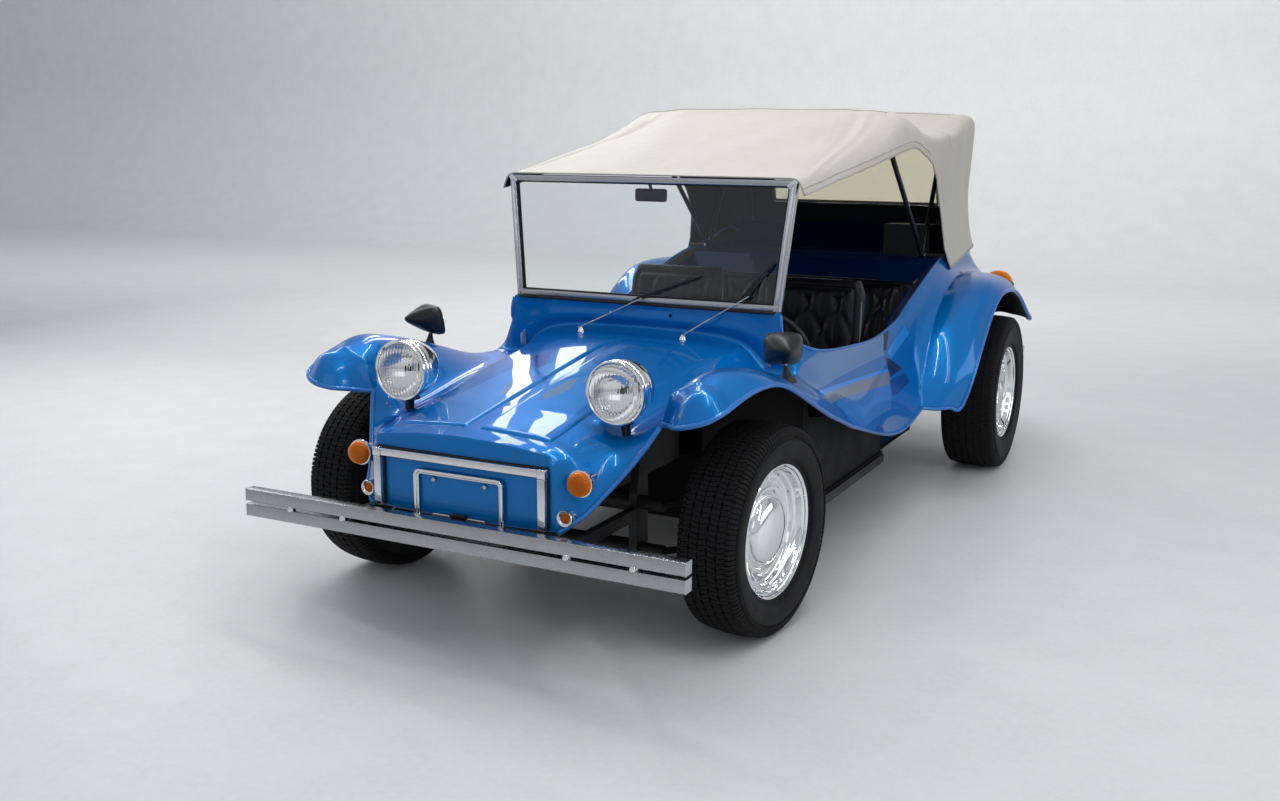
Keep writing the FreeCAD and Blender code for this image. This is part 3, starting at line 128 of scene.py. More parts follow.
class Shader:
    """A material being built: adds nodes and links by short calls."""

    def __init__(self, name):
        self.material = bpy.data.materials.new(name)
        self.material.use_nodes = True
        self.tree = self.material.node_tree
        self.tree.nodes.clear()
        self.out = self.node("ShaderNodeOutputMaterial")
        self.bsdf = self.node("ShaderNodeBsdfPrincipled")
        plug(self.tree, self.out.inputs[0], self.bsdf.outputs[0])
        self.place = self.node("ShaderNodeTexCoord").outputs["Object"]

    def node(self, kind, links=(), **settings):
        return add_node(self.tree, kind, links, **settings)

    def set(self, **values):
        """Set or link the surface's sockets by their names."""
        for key, value in values.items():
            plug(self.tree, self.bsdf.inputs[key.replace("_", " ")], opaque(value))

    def math(self, operation, a, b=0.0):
        return self.node("ShaderNodeMath", ((0, a), (1, b)), operation=operation).outputs[0]

    def noise(self, scale, detail, roughness=0.5):
        links = (("Vector", self.place), ("Scale", scale), ("Detail", detail), ("Roughness", roughness))
        return self.node("ShaderNodeTexNoise", links).outputs["Fac"]

    def wave(self, way, scale, **links):
        links = [("Vector", self.place), ("Scale", scale), *links.items()]
        return self.node("ShaderNodeTexWave", links, bands_direction=way).outputs["Fac"]

    def ramp(self, value, low, high, to_low, to_high):
        names = ("Value", "From Min", "From Max", "To Min", "To Max")
        return self.node("ShaderNodeMapRange", zip(names, (value, low, high, to_low, to_high))).outputs["Result"]

    def mix(self, share, first, second):
        links = ((0, share), (6, opaque(first)), (7, opaque(second)))
        return self.node("ShaderNodeMix", links, data_type="RGBA").outputs[2]

    def shared(self, name, **links):
        """The output of a shared group with its inputs set or linked."""
        made = self.node("ShaderNodeGroup", node_tree=bpy.data.node_groups[name])
        for key, source in links.items():
            plug(self.tree, made.inputs[key], source)
        return made.outputs[0]

    def uneven(self, scale, low, high):
        return self.shared("Uneven", Vector=self.place, Scale=scale, Low=low, High=high)

    def bump(self, height, strength, distance, normal=None):
        links = [("Height", height), ("Strength", strength), ("Distance", distance)]
        bump = self.node("ShaderNodeBump", links + ([("Normal", normal)] if normal else []))
        self.set(Normal=bump.outputs[0])
        return bump.outputs[0]


def shader_group(name, inputs, output, fill):
    """A shader node group with named sockets; an input of None is a vector."""
    tree = bpy.data.node_groups.new(name, "ShaderNodeTree")
    for socket, value in inputs.items():
        kind = "NodeSocketVector" if value is None else "NodeSocketFloat"
        made = tree.interface.new_socket(socket, in_out="INPUT", socket_type=kind)
        if value is not None:
            made.default_value = value
    tree.interface.new_socket(output, in_out="OUTPUT", socket_type="NodeSocketFloat")
    given, out = tree.nodes.new("NodeGroupInput"), tree.nodes.new("NodeGroupOutput")

    def step(operation, a, b):
        return add_node(tree, "ShaderNodeMath", ((0, a), (1, b)), operation=operation).outputs[0]

    plug(tree, out.inputs[0], fill(tree, given.outputs, step))


def fill_uneven(tree, given, step):
    """Faint large and small unevenness used to vary roughness and colour."""
    scales = ((given["Scale"], 3.0), (step("MULTIPLY", given["Scale"], 9.0), 4.0))
    broad, fine = (
        add_node(tree, "ShaderNodeTexNoise", (("Vector", given["Vector"]), ("Scale", scale), ("Detail", detail)))
        for scale, detail in scales)
    both = step("MULTIPLY", broad.outputs["Fac"], fine.outputs["Fac"])
    links = (("Value", both), ("From Min", 0.12), ("From Max", 0.42), ("To Min", given["Low"]),
             ("To Max", given["High"]))
    return add_node(tree, "ShaderNodeMapRange", links).outputs["Result"]


def fill_grain(tree, given, step):
    """Pebbled grain of moulded vinyl, as a height."""
    links = (("Vector", given["Vector"]), ("Scale", given["Scale"]))
    return add_node(tree, "ShaderNodeTexVoronoi", links, feature="SMOOTH_F1").outputs["Distance"]


def fill_edge(tree, given, step):
    """1 to the left of the line from A to B in the plane of U and V, else 0."""
    u, v, au, av, bu, bv = (given[k] for k in EDGE_INPUTS)
    first = step("MULTIPLY", step("SUBTRACT", bu, au), step("SUBTRACT", v, av))
    second = step("MULTIPLY", step("SUBTRACT", bv, av), step("SUBTRACT", u, au))
    wide = step("MULTIPLY", step("SUBTRACT", first, second), EDGE_SHARPNESS)
    return step("MAXIMUM", step("MINIMUM", step("ADD", wide, 0.5), 1.0), 0.0)


EDGE_INPUTS = ("U", "V", "Au", "Av", "Bu", "Bv")
EDGE_SHARPNESS = 4000.0
GLASS_IOR = 1.45
MATERIALS = {}
# Painted marks. On the hood (distance from the middle, y) and on the sides
# (y, z), metres from the front axle: colour, strength and convex corners.
HOOD_HALF, HOOD_LOW, SIDE_FROM = 0.30, 0.60, 0.60
HOOD_MARKS = (
    ((0.055, 0.25, 0.58), 0.50,
     ((0.236, -0.36), (0.185, 0.065), (0.100, 0.0), (0.0, -0.10), (0.022, -0.49), (0.12, -0.49))),
    ((0.17, 0.19, 0.21), 0.75, ((0.112, -0.138), (0.086, -0.032), (0.062, -0.072), (0.054, -0.19), (0.080, -0.246))),
    ((0.15, 0.20, 0.25), 0.70, ((0.195, 0.017), (0.166, 0.075), (0.106, 0.0), (0.114, -0.064))),
    ((0.07, 0.27, 0.56), 0.50, ((0.100, 0.012), (0.083, 0.10), (0.02, 0.15), (0.0, 0.08), (0.0, -0.07))),
    ((0.004, 0.04, 0.20), 0.7, ((0.20, 0.03), (0.21, 0.12), (0.15, 0.20), (0.09, 0.05), (0.112, 0.03))),
)
SIDE_MARKS = (
    ((0.12, 0.22, 0.40), 0.85,
     ((0.20, 0.90), (0.24, 0.655), (0.466, 0.655), (1.356, 0.604), (1.345, 0.666), (1.36, 0.90))),
    ((0.12, 0.22, 0.40), 0.85, ((1.33, 0.90), (1.343, 0.666), (1.475, 0.747), (1.44, 0.90))),
    ((0.06, 0.21, 0.50), 0.70, ((0.60, 0.604), (0.80, 0.48), (1.27, 0.46), (1.335, 0.552))),
    ((0.21, 0.215, 0.21), 0.85, ((0.49, 0.643), (0.55, 0.612), (1.33, 0.545), (1.375, 0.597))),
    ((0.02, 0.24, 0.75), 0.85, ((0.466, 0.655), (0.49, 0.641), (1.356, 0.590), (1.356, 0.603))),
    ((0.008, 0.009, 0.012), 0.95, ((1.345, 0.672), (1.375, 0.668), (1.50, 0.752), (1.475, 0.775))),
    ((0.03, 0.26, 0.70), 0.85, ((1.388, 0.662), (1.40, 0.632), (1.660, 0.697), (1.640, 0.735))),
    ((0.008, 0.009, 0.012), 0.95, ((1.341, 0.650), (1.345, 0.567), (1.504, 0.580), (1.400, 0.628))),
    ((0.004, 0.03, 0.16), 0.80, ((1.325, 0.56), (1.331, 0.499), (1.38, 0.495), (1.56, 0.520), (1.52, 0.560))),
)


def painted(s, base):
    """The hood's and the sides' marks laid over the base colour."""
    parts = s.node("ShaderNodeSeparateXYZ", ((0, s.place),)).outputs
    wide = s.math("ABSOLUTE", parts["X"])
    y, z = s.math("SUBTRACT", parts["Y"], FRONT_AXLE_Y), parts["Z"]
    on_hood = s.math("MULTIPLY", s.math("LESS_THAN", wide, HOOD_HALF), s.math("GREATER_THAN", z, HOOD_LOW))
    on_side = s.math("GREATER_THAN", wide, SIDE_FROM)
    for gate, u, v, marks in ((on_hood, wide, y, HOOD_MARKS), (on_side, y, z, SIDE_MARKS)):
        for colour, strength, corners in marks:
            turns = sum(a[0] * b[1] - b[0] * a[1] for a, b in zip(corners, corners[1:] + corners[:1]))
            ring = corners if turns > 0 else corners[::-1]
            mask = s.math("MULTIPLY", gate, strength)
            for a, b in zip(ring, ring[1:] + ring[:1]):
                inside = s.shared("Left of line", **dict(zip(EDGE_INPUTS, (u, v, *a, *b))))
                mask = s.math("MULTIPLY", mask, inside)
            base = s.mix(mask, base, colour)
    return base


def build_groups():
    shader_group("Uneven", {"Vector": None, "Scale": 6.0, "Low": 0.0, "High": 1.0}, "Value", fill_uneven)
    shader_group("Left of line", dict.fromkeys(EDGE_INPUTS, 0.0), "Value", fill_edge)
    shader_group("Grain", {"Vector": None, "Scale": 400.0}, "Height", fill_grain)


def flake_paint(name, colour, deep, flake=0.35, marks=False, painted_shade_before=None):
    """Metal flake under clear coat: tiny cells tilt the base and vary it.

    The base darkens as it turns from the camera: painted shade at glancing angles. Ahead of
    the y that is given the paint is darker still: painted shade for the inside, which the top keeps dim.
    """
    s = Shader(name)
    cells = s.node("ShaderNodeTexVoronoi", (("Vector", s.place), ("Scale", 1500.0))).outputs
    tint = s.ramp(s.node("ShaderNodeSeparateColor", ((0, cells["Color"]),)).outputs[0], 0, 1, 0, flake)
    # painted shade: the base turns to the flake colour as the surface turns from the camera
    turned_away = s.node("ShaderNodeLayerWeight", (("Blend", 0.35),)).outputs["Facing"]
    base = s.mix(s.math("MAXIMUM", tint, s.ramp(turned_away, 0.10, 1.0, 0.0, 0.85)), colour, deep)
    if marks:
        base = painted(s, base)
    # painted shade: ahead of the given y the inside of the tub is darkened towards the flake colour
    if painted_shade_before is not None:
        back = s.node("ShaderNodeSeparateXYZ", ((0, s.place),)).outputs["Y"]
        base = s.mix(s.math("LESS_THAN", back, painted_shade_before), base, shade_of(deep, 0.42))
    s.set(Base_Color=s.mix(s.uneven(2.2, 0.0, 0.06), base, shade_of(deep, 0.8)), Roughness=s.uneven(5.0, 0.30, 0.35),
          Metallic=0.35, Coat_Weight=0.58, Coat_Roughness=0.02, Coat_IOR=1.5, Specular_IOR_Level=0.05,
          Specular_Tint=(0.15, 0.45, 1.0))
    s.bump(cells["Distance"], 0.12, 0.0004)
    return s.material


def plain(name, colour, roughness, metallic=0.0, scale=8.0, spread=0.08, bump=0.0, grain=None, gloss=0.5):
    """A uniform finish whose gloss varies a little over the surface."""
    s = Shader(name)
    s.set(Roughness=s.uneven(scale, roughness - spread, roughness + spread), Metallic=metallic,
          Specular_IOR_Level=gloss, Base_Color=s.mix(s.uneven(scale * 0.6, 0.0, 0.35), colour, shade_of(colour, 0.8)))
    if grain:
        s.bump(s.shared("Grain", Vector=s.place, Scale=grain), bump, 0.0006)
    elif bump:
        s.bump(s.noise(scale * 30, 3.0), bump, 0.0008)
    return s.material


def ribbed_glass(name, ribs):
    """Clear glass with upright ribs moulded in it."""
    s = Shader(name)
    s.set(Base_Color=(1.0, 1.0, 1.0), Roughness=0.0, Transmission_Weight=1.0, IOR=GLASS_IOR)
    s.bump(s.wave("X", ribs), 0.5, 0.002)
    return s.material


def thin_glass(name, colour, clear):
    """Flat panes: mostly straight-through light with a gloss on top."""
    s = Shader(name)
    through = s.node("ShaderNodeBsdfTransparent", ((0, opaque(colour)),))
    gloss = s.node("ShaderNodeBsdfGlossy", (("Color", (1, 1, 1, 1)), ("Roughness", 0.02)))
    edge = s.node("ShaderNodeFresnel", (("IOR", GLASS_IOR),)).outputs[0]
    share = s.math("ADD", s.math("MULTIPLY", edge, 0.5), 1.0 - clear)
    blend = s.node("ShaderNodeMixShader", ((0, share), (1, through.outputs[0]), (2, gloss.outputs[0])))
    plug(s.tree, s.out.inputs[0], blend.outputs[0])
    return s.material


def fabric_cream(colour):
    """Coated top cloth: fine woven grain, faint grime and water marks."""
    s = Shader("top_cream_vinyl")
    height = s.math("ADD", *(s.wave(way, 420.0, Distortion=0.4) for way in "XY"))
    dirty = tuple(c * share for c, share in zip(colour, (0.86, 0.84, 0.80)))
    s.set(Base_Color=s.mix(s.uneven(2.6, 0.0, 0.55), colour, dirty), Roughness=0.56, Sheen_Weight=0.12,
          Sheen_Roughness=0.6)
    broad = s.bump(s.noise(9.0, 4.0, 0.6), 0.35, 0.006)
    s.bump(height, 0.18, 0.0004, broad)
    return s.material


def lens(name, colour):
    """Moulded lens: coloured plastic with fine ribs and a clear skin; painted light brightens it towards the rim and
    painted shade bands it along the ribs.
    """
    s = Shader(name)
    ribs, dark = s.wave("Z", 95.0), shade_of(colour, 0.5)
    # painted light: brighter towards the rim as it turns from the camera, darker in bands along the ribs
    rim = s.node("ShaderNodeLayerWeight", (("Blend", 0.5),)).outputs["Facing"]
    painted_glow = s.mix(s.ramp(rim, 0.15, 0.9, 0.0, 1.0), dark, tuple(min(1.0, c * 1.25) for c in colour))
    s.set(Base_Color=s.mix(s.ramp(ribs, 0, 1, 0.0, 0.3), painted_glow, dark), Roughness=0.25, Specular_IOR_Level=0.06,
          Coat_Weight=0.22, Coat_Roughness=0.03)
    s.bump(ribs, 0.6, 0.0012)
    return s.material


# Plain finishes by key: material name, colour, roughness and what else differs
PLAIN = {
    "floor": ("studio_floor", (0.66, 0.66, 0.655), 0.5, dict(spread=0.03)),
    "under": ("underside_black", (0.006, 0.006, 0.007), 0.70, dict(bump=0.25, gloss=0.2)),
    "chassis": ("chassis_black_paint", (0.010, 0.010, 0.011), 0.5, dict(bump=0.15, gloss=0.3)),
    "alloy": ("cast_alloy", (0.40, 0.41, 0.42), 0.48, dict(metallic=0.85, bump=0.2)),
    "chrome": ("wheel_chrome", (0.88, 0.89, 0.90), 0.06, dict(metallic=1.0, spread=0.03)),
    "trim": ("trim_bright", (0.80, 0.81, 0.82), 0.12, dict(metallic=1.0, spread=0.05)),
    "bumper": ("bumper_polished", (0.42, 0.43, 0.44), 0.26, dict(metallic=1.0)),
    "screen_alloy": ("screen_alloy", (0.50, 0.51, 0.53), 0.24, dict(metallic=1.0, spread=0.03)),
    "rubber": ("tyre_rubber_black", (0.006, 0.006, 0.0065), 0.64, dict(bump=0.2, scale=14.0, gloss=0.2)),
    "rubber_worn": ("tyre_tread_rubber", (0.008, 0.008, 0.0085), 0.74, dict(bump=0.3, scale=20.0, gloss=0.18)),
    "seal": ("seal_rubber", (0.008, 0.008, 0.009), 0.55, dict(gloss=0.3)),
    "black": ("black_plastic", (0.008, 0.008, 0.009), 0.38, dict(bump=0.1, grain=900.0, gloss=0.35)),
    "crackle": ("mirror_black", (0.020, 0.020, 0.022), 0.55, dict(bump=0.5, grain=700.0)),
    "vinyl": ("seat_vinyl", (0.004, 0.004, 0.005), 0.36, dict(bump=0.3, grain=520.0, gloss=0.22)),
    "piping": ("seat_piping", (0.10, 0.105, 0.11), 0.4, dict(bump=0.2)),
    "exhaust": ("exhaust_black", (0.03, 0.03, 0.03), 0.7, dict(metallic=0.3, bump=0.2)),
    "lining": ("top_lining_dark", (0.018, 0.018, 0.02), 0.9, dict(bump=0.3, grain=700.0, gloss=0.2)),
    "reflector": ("lamp_reflector", (0.92, 0.92, 0.92), 0.10, dict(metallic=1.0)),
}


def build_materials(look):
    blue, deep, cream = tuple(look.body_colour), tuple(look.body_deep), tuple(look.top_colour)
    for key, (name, colour, roughness, settings) in PLAIN.items():
        MATERIALS[key] = plain(name, colour, roughness, **settings)
    MATERIALS.update(
        blue=flake_paint("body_blue", blue, deep, marks=True),
        # the tub's paint gets painted shade on its inside
        tub=flake_paint("tub_blue", blue, deep, painted_shade_before=REAR_AXLE.y + 0.53),
        lip=flake_paint("body_edge_blue", (0.035, 0.20, 0.56), (0.02, 0.10, 0.34), 0.3),
        cream=fabric_cream(cream),
        cream_edge=plain("top_edge_cream", shade_of(cream, 0.78), 0.6, bump=0.2),
        amber=lens("amber_lens", (0.86, 0.195, 0.002)),
        red=lens("red_lens", (0.70, 0.01, 0.01)),
        lens=ribbed_glass("headlamp_glass", 26.0),
        pane=thin_glass("screen_glass", (0.93, 0.96, 0.95), 0.99),
        vinyl_pane=thin_glass("window_vinyl", (0.93, 0.905, 0.79), 0.90))


# ------------------------------------------------------------ mesh helpers
SIDES = ((1, "left"), (-1, "right"))
Y_WAY, Z_WAY = Vector((0, 1, 0)), Vector((0, 0, 1))


def link(obj, slot, *nodes, body="chassis"):
    """Put a finished piece in the scene on its body and hide the plain pieces it stands for."""
    objects = bpy.context.scene.collection.objects
    if obj.name not in objects:
        objects.link(obj)
    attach(obj, body)
    stands_for = [node for node in nodes if node]
    if stands_for:
        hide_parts(*stands_for)


def finish(obj, material):
    obj.data.materials.clear()
    obj.data.materials.append(MATERIALS[material])
    return obj


def cleaned(mesh, merge=1e-5):
    """Drop loose places, merge doubles, face outward and shade smooth."""
    bm = bmesh.new()
    bm.from_mesh(mesh)
    bmesh.ops.delete(bm, geom=[v for v in bm.verts if not v.link_faces], context="VERTS")
    bmesh.ops.remove_doubles(bm, verts=bm.verts, dist=merge)
    bmesh.ops.recalc_face_normals(bm, faces=bm.faces)
    bm.to_mesh(mesh)
    bm.free()
    mesh.shade_smooth()


def raw_mesh(name, verts, faces):
    mesh = bpy.data.meshes.new(name)
    mesh.from_pydata([tuple(v) for v in verts], [], faces)
    mesh.shade_smooth()
    return bpy.data.objects.new(name, mesh)


def mesh_from(name, verts, faces):
    obj = raw_mesh(name, verts, faces)
    cleaned(obj.data)
    return obj


def grid_faces(rows, columns):
    """Quads between neighbouring rows of places, row by row."""
    for a in (j * columns + i for j in range(rows - 1) for i in range(columns - 1)):
        yield (a, a + 1, a + columns + 1, a + columns)


def baked(obj):
    """Apply an object's modifiers, leaving a plain mesh of the same name."""
    scene = bpy.context.scene.collection
    if obj.name not in scene.objects:
        scene.objects.link(obj)
    bpy.context.view_layer.update()
    graph = bpy.context.evaluated_depsgraph_get()
    mesh = bpy.data.meshes.new_from_object(obj.evaluated_get(graph), depsgraph=graph)
    obj.modifiers.clear()
    old = obj.data
    obj.data = mesh
    bpy.data.meshes.remove(old)
    return obj


# --------------------------------------------------------- body as one cage
# Half the body in millimetres, y from the front axle. The limit surface of
# the subdivided cage passes through these points.
# Hood: y, crease z, then crown x, z and edge x, z
HOOD = (
    (-562, 648, 150, 642, 296, 626), (-520, 655, 151, 649, 297, 632), (-470, 663, 152, 657, 298, 640),
    (-380, 678, 153, 671, 299, 655), (-305, 690, 155, 684, 300, 668), (-200, 706, 160, 700, 306, 684),
    (-70, 727, 165, 721, 316, 704), (110, 754, 175, 748, 330, 728), (330, 786, 190, 780, 350, 754),
    (470, 802, 205, 797, 382, 768), (560, 812, 215, 808, 400, 778),
)
# Leg beside the nose: y, middle x, z, arch edge x, z
LEG = ((-562, 314, 540, 322, 408), (-520, 350, 574, 374, 450), (-470, 374, 588, 403, 490), (-380, 398, 614, 466, 588))
# Fender: y, then x, z of dip, turn, crest and lip
FENDER = (
    (-305, 396, 636, 516, 690, 628, 822, 736, 766), (-200, 402, 656, 522, 742, 640, 838, 752, 789),
    (-70, 412, 676, 535, 760, 655, 826, 778, 790), (110, 428, 692, 552, 752, 680, 782, 790, 722),
    (330, 446, 692, 566, 706, 692, 702, 791, 629), (470, 470, 700, 582, 694, 698, 658, 787, 580),
    (560, 490, 700, 590, 700, 702, 634, 782, 550),
)
# Lobe ahead of the fender: places on the inner lip, rise, crest, shoulder, lip
LOBE = (
    ((562, -343, 697), (590, -352, 766), (642, -356, 802), (694, -350, 794), (731, -338, 757)),
    ((580, -374, 703), (606, -388, 744), (645, -394, 772), (690, -384, 764), (721, -369, 748)),
    ((604, -400, 708), (624, -412, 713), (648, -418, 719), (676, -411, 726), (701, -396, 735)),
)
# Side: y, then x, z of rim, inner, turn, belly and lower edge
SIDE = (
    (640, 572, 792, 590, 744, 625, 706, 704, 618, 776, 524), (800, 600, 748, 615, 726, 650, 682, 712, 578, 768, 480),
    (1100, 618, 724, 634, 708, 664, 656, 713, 527, 752, 401), (1360, 632, 722, 648, 708, 676, 642, 716, 500, 755, 367),
)
# Hip and rear fender: y, then x, z of rim, inner, turn, belly and crease, then
# x and radius from the rear axle of shoulder, crown, edge and lip
REAR = (
    (1600, 640, 760, 654, 742, 684, 662, 722, 520, 758, 404, 790, 772, 828, 738, 858, 692, 884, 648),
    (1681, 640, 784, 654, 766, 681, 700, 711, 618, 742, 562, 786, 742, 840, 718, 886, 678, 918, 622),
    (1861, 640, 842, 652, 828, 672, 790, 694, 764, 730, 740, 782, 668, 842, 655, 892, 608, 920, 541),
    (2137, 632, 917, 645, 903, 661, 881, 683, 857, 712, 842, 770, 572, 836, 573, 892, 550, 922, 504),
    (2344, 621, 955, 633, 941, 649, 917, 671, 891, 704, 875, 762, 538, 832, 536, 892, 515, 926, 475),
    (2551, 610, 990, 622, 969, 638, 934, 660, 893, 704, 875, 762, 548, 832, 538, 892, 512, 930, 466),
    (2755, 601, 1025, 612, 993, 627, 944, 649, 891, 703, 855, 762, 594, 832, 562, 894, 524, 936, 468),
    (2932, 594, 962, 604, 945, 620, 915, 648, 868, 700, 810, 762, 668, 832, 618, 894, 560, 940, 494),
)


def circle_through(a, b, c):
    """Centre and radius of the circle through three (x, z) points, if any."""
    (ax, az), (bx, bz), (cx, cz) = a, b, c
    d = 2 * (ax * (bz - cz) + bx * (cz - az) + cx * (az - bz))
    if abs(d) < 1.0:
        return None
    sq = [x * x + z * z for x, z in (a, b, c)]
    ox = (sq[0] * (bz - cz) + sq[1] * (cz - az) + sq[2] * (az - bz)) / d
    oz = (sq[0] * (cx - bx) + sq[1] * (ax - cx) + sq[2] * (bx - ax)) / d
    return ox, oz, math.hypot(ax - ox, az - oz)


def arc_middle(a, b, c, first):
    """Point half-way along one limb of the arc through three (x, z) points."""
    p, q = (a, b) if first else (b, c)
    mx, mz = (p[0] + q[0]) / 2, (p[1] + q[1]) / 2
    ox, oz, r = circle_through(a, b, c) or (mx, mz, 0.0)
    reach = math.hypot(mx - ox, mz - oz)
    if reach < 1e-3 or r > FLAT_ARC:
        return mx, mz
    return ox + (mx - ox) * r / reach, oz + (mz - oz) * r / reach


def with_arc(points):
    """Section points with one more half-way along each outer limb."""
    tail = points[-3:]
    return points[:-2] + [arc_middle(*tail, True), points[-2], arc_middle(*tail, False), points[-1]]


def section(row, first=1, last=None):
    """The (x, z) pairs of a table's row."""
    return list(zip(row[first:last:2], row[first + 1:last:2]))


class Cage:
    """Quad cage of the left half; equal places share a vertex."""

    def __init__(self):
        self.points = []
        self.faces = []
        self.creases = {}
        self.known = {}

    def vertex(self, x, y, z):
        key = (round(x), round(y), round(z))
        if key not in self.known:
            self.known[key] = len(self.points)
            self.points.append((x, y, z))
        return self.known[key]

    def strip(self, rows):
        """Join rows of points of equal length into quads."""
        ids = [[self.vertex(*p) for p in row] for row in rows]
        for a, b in zip(ids, ids[1:]):
            for i in range(len(a) - 1):
                face = [a[i], a[i + 1], b[i + 1], b[i]]
                face = [v for k, v in enumerate(face) if v != face[k - 1]]
                if len(face) > 2:
                    self.faces.append(face)
        return ids

    def crease(self, ids, weight):
        for a, b in zip(ids, ids[1:]):
            self.creases[frozenset((a, b))] = weight


# Radius beyond which an arc counts as straight, and heights of the cowl's top
# and of the nose's lower edge
FLAT_ARC, COWL_TOP, NOSE_LOW = 4000, 898, 404
REAR_Y, REAR_Z = 2400, 348
# Front end of the side, from the fender's dip up to the screen: x, z
COWL_END = ((590, 700), (562, 762), (545, 830), (534, 898))
# Rear flap of the fender, down to its level lower edge
FLAP = ((704, 2962, 645), (762, 2953, 642), (832, 2932, 640), (894, 2898, 637), (940, 2852, 634))


def body_cage():
    cage = Cage()
    hood = [[(0, y, zc), (xm, y, zm), (xe, y, ze)] for y, zc, xm, zm, xe, ze in HOOD]
    front = [h + [(x, row[0], z) for x, z in section(row)] for h, row in zip(hood, LEG)]
    fender = [h + [(x, row[0], z) for x, z in with_arc(section(row))] for h, row in zip(hood[len(LEG):], FENDER)]
    cage.strip(front + [fender[0][:5]])
    # nose: the hood's front edge turned down to the bumper
    face = [front[0][:3]]
    for lift, end in ((0.5, 3), (0.0, 4)):
        face.append([(x, y - 6, NOSE_LOW + (z - NOSE_LOW) * lift) for x, y, z in front[0][:2]] + [front[0][end]])
    cage.strip(face)
    main = cage.strip(fender)
    cage.strip([fender[0][4:], *LOBE])
    # cowl: up from the hood's rear edge to the screen
    last = fender[-1]
    y0 = last[0][1]
    cowl = [last[:5]]
    for (xe, ze), lift in zip(COWL_END[1:], (0.34, 0.68, 1.0)):
        row = [(x + (k == 3) * 10 * lift, y0, z + (COWL_TOP - z) * lift) for k, (x, y, z) in enumerate(last[:4])]
        cowl.append(row + [(xe, y0, ze)])
    cage.strip(cowl)
    side = [[cowl[2][4], cowl[1][4]] + last[4:]]
    side += [[(x, row[0], z) for x, z in with_arc(section(row))] for row in SIDE]
    hip, flare = [], []
    for row in REAR:
        hip.append([(x, row[0], z) for x, z in with_arc(section(row, 1, 11))])
        angle = math.atan2(row[10] - REAR_Z, row[0] - REAR_Y)
        arch = [(x, REAR_Y + r * math.cos(angle), REAR_Z + r * math.sin(angle)) for x, r in section(row, 11)]
        flare.append([hip[-1][-1]] + arch)
    cage.strip(side + hip)
    flares = cage.strip(flare + [FLAP])
    corner = [(min(x, 600), 2960 - 0.02 * (z - 800), z - 6) for x, y, z in hip[-1]]
    cage.strip([hip[-1], corner])
    for line, weight in (([row[0] for row in main], 0.75), ([row[2] for row in main], 0.7),
                         ([row[0] for row in flares], 0.45)):
        cage.crease(line, weight)
    return cage


def cage_object(cage, place, middle, levels):
    """The mirrored cage with its subdivision, `place` as the left half."""
    scene, n = bpy.context.scene.collection, len(place)
    mesh = bpy.data.meshes.new("body_shell")
    mesh.from_pydata([tuple(v) for v in np.vstack([place, place * [-1.0, 1.0, 1.0]])], [],
                     cage.faces + [[v + n for v in face[::-1]] for face in cage.faces])
    bm = bmesh.new()
    bm.from_mesh(mesh)
    bm.verts.ensure_lookup_table()
    layer = bm.edges.layers.float.new("crease_edge")
    for edge in bm.edges:
        edge[layer] = cage.creases.get(frozenset(v.index % n for v in edge.verts), 0.0)
    bmesh.ops.weld_verts(bm, targetmap={bm.verts[i + n]: bm.verts[i] for i in range(n) if middle[i]})
    bm.to_mesh(mesh)
    bm.free()
    obj = bpy.data.objects.new("body_shell", mesh)
    scene.objects.link(obj)
    smooth = obj.modifiers.new("smooth", "SUBSURF")
    smooth.levels = smooth.render_levels = levels
    smooth.boundary_smooth = "ALL"
    smooth.use_limit_surface = True
    return obj


def cage_mesh(cage, levels, rounds=8):
    """Subdivide the mirrored cage, nudged until its surface meets its points."""
    target = np.array([at(*p) for p in cage.points])
    place, middle = target.copy(), np.abs(target[:, 0]) < 1e-6
    for _ in range(rounds):
        obj = cage_object(cage, place, middle, 3)
        bpy.context.view_layer.update()
        found = obj.evaluated_get(bpy.context.evaluated_depsgraph_get()).data
        now = np.array([found.vertices[i].co for i in range(len(place))])
        place = place + (target - now) * 0.9
        place[middle, 0] = 0.0
        bpy.data.objects.remove(obj)
    return cage_object(cage, place, middle, levels)


def border_loops(mesh):
    """Ordered open-edge loops of a mesh, as lists of places."""
    bm = bmesh.new()
    bm.from_mesh(mesh)
    edges = dict.fromkeys(e for e in bm.edges if e.is_boundary)
    loops = []
    while edges:
        edge = next(iter(edges))
        del edges[edge]
        start, v = edge.verts
        chain = [start.co.copy(), v.co.copy()]
        while step := next((e for e in v.link_edges if e in edges), None):
            del edges[step]
            v = step.other_vert(v)
            chain.append(v.co.copy())
        loops.append(chain)
    bm.free()
    return loops


def tube(material, points, radius, sides=8, closed=False):
    """A round tube that follows places in order."""
    verts, faces = [], []
    count = len(points)
    side = None
    for i, p in enumerate(points):
        before = points[i - 1] if i or closed else p
        after = points[(i + 1) % count] if i < count - 1 or closed else p
        way = (after - before).normalized()
        if side is None:
            side = way.orthogonal().normalized()
        side = (side - way * side.dot(way)).normalized()
        up = way.cross(side)
        for a in (2 * PI * k / sides for k in range(sides)):
            verts.append(p + (side * math.cos(a) + up * math.sin(a)) * radius)
    for i in range(count if closed else count - 1):
        a, b = i * sides, (i + 1) % count * sides
        for k in range(sides):
            j = (k + 1) % sides
            faces.append((a + k, a + j, b + j, b + k))
    if not closed:
        faces += [tuple(range(sides - 1, -1, -1)), tuple(range((count - 1) * sides, count * sides))]
    return finish(mesh_from("tube", verts, faces), material)


def stretch(loop, start, end):
    """The part of an open-edge loop that runs the short way between places."""
    count = len(loop)
    a = min(range(count), key=lambda i: (loop[i] - start).length)
    b = min(range(count), key=lambda i: (loop[i] - end).length)
    if (b - a) % count > count / 2:
        a, b = b, a
    return [loop[(a + k) % count] for k in range((b - a) % count + 1)]


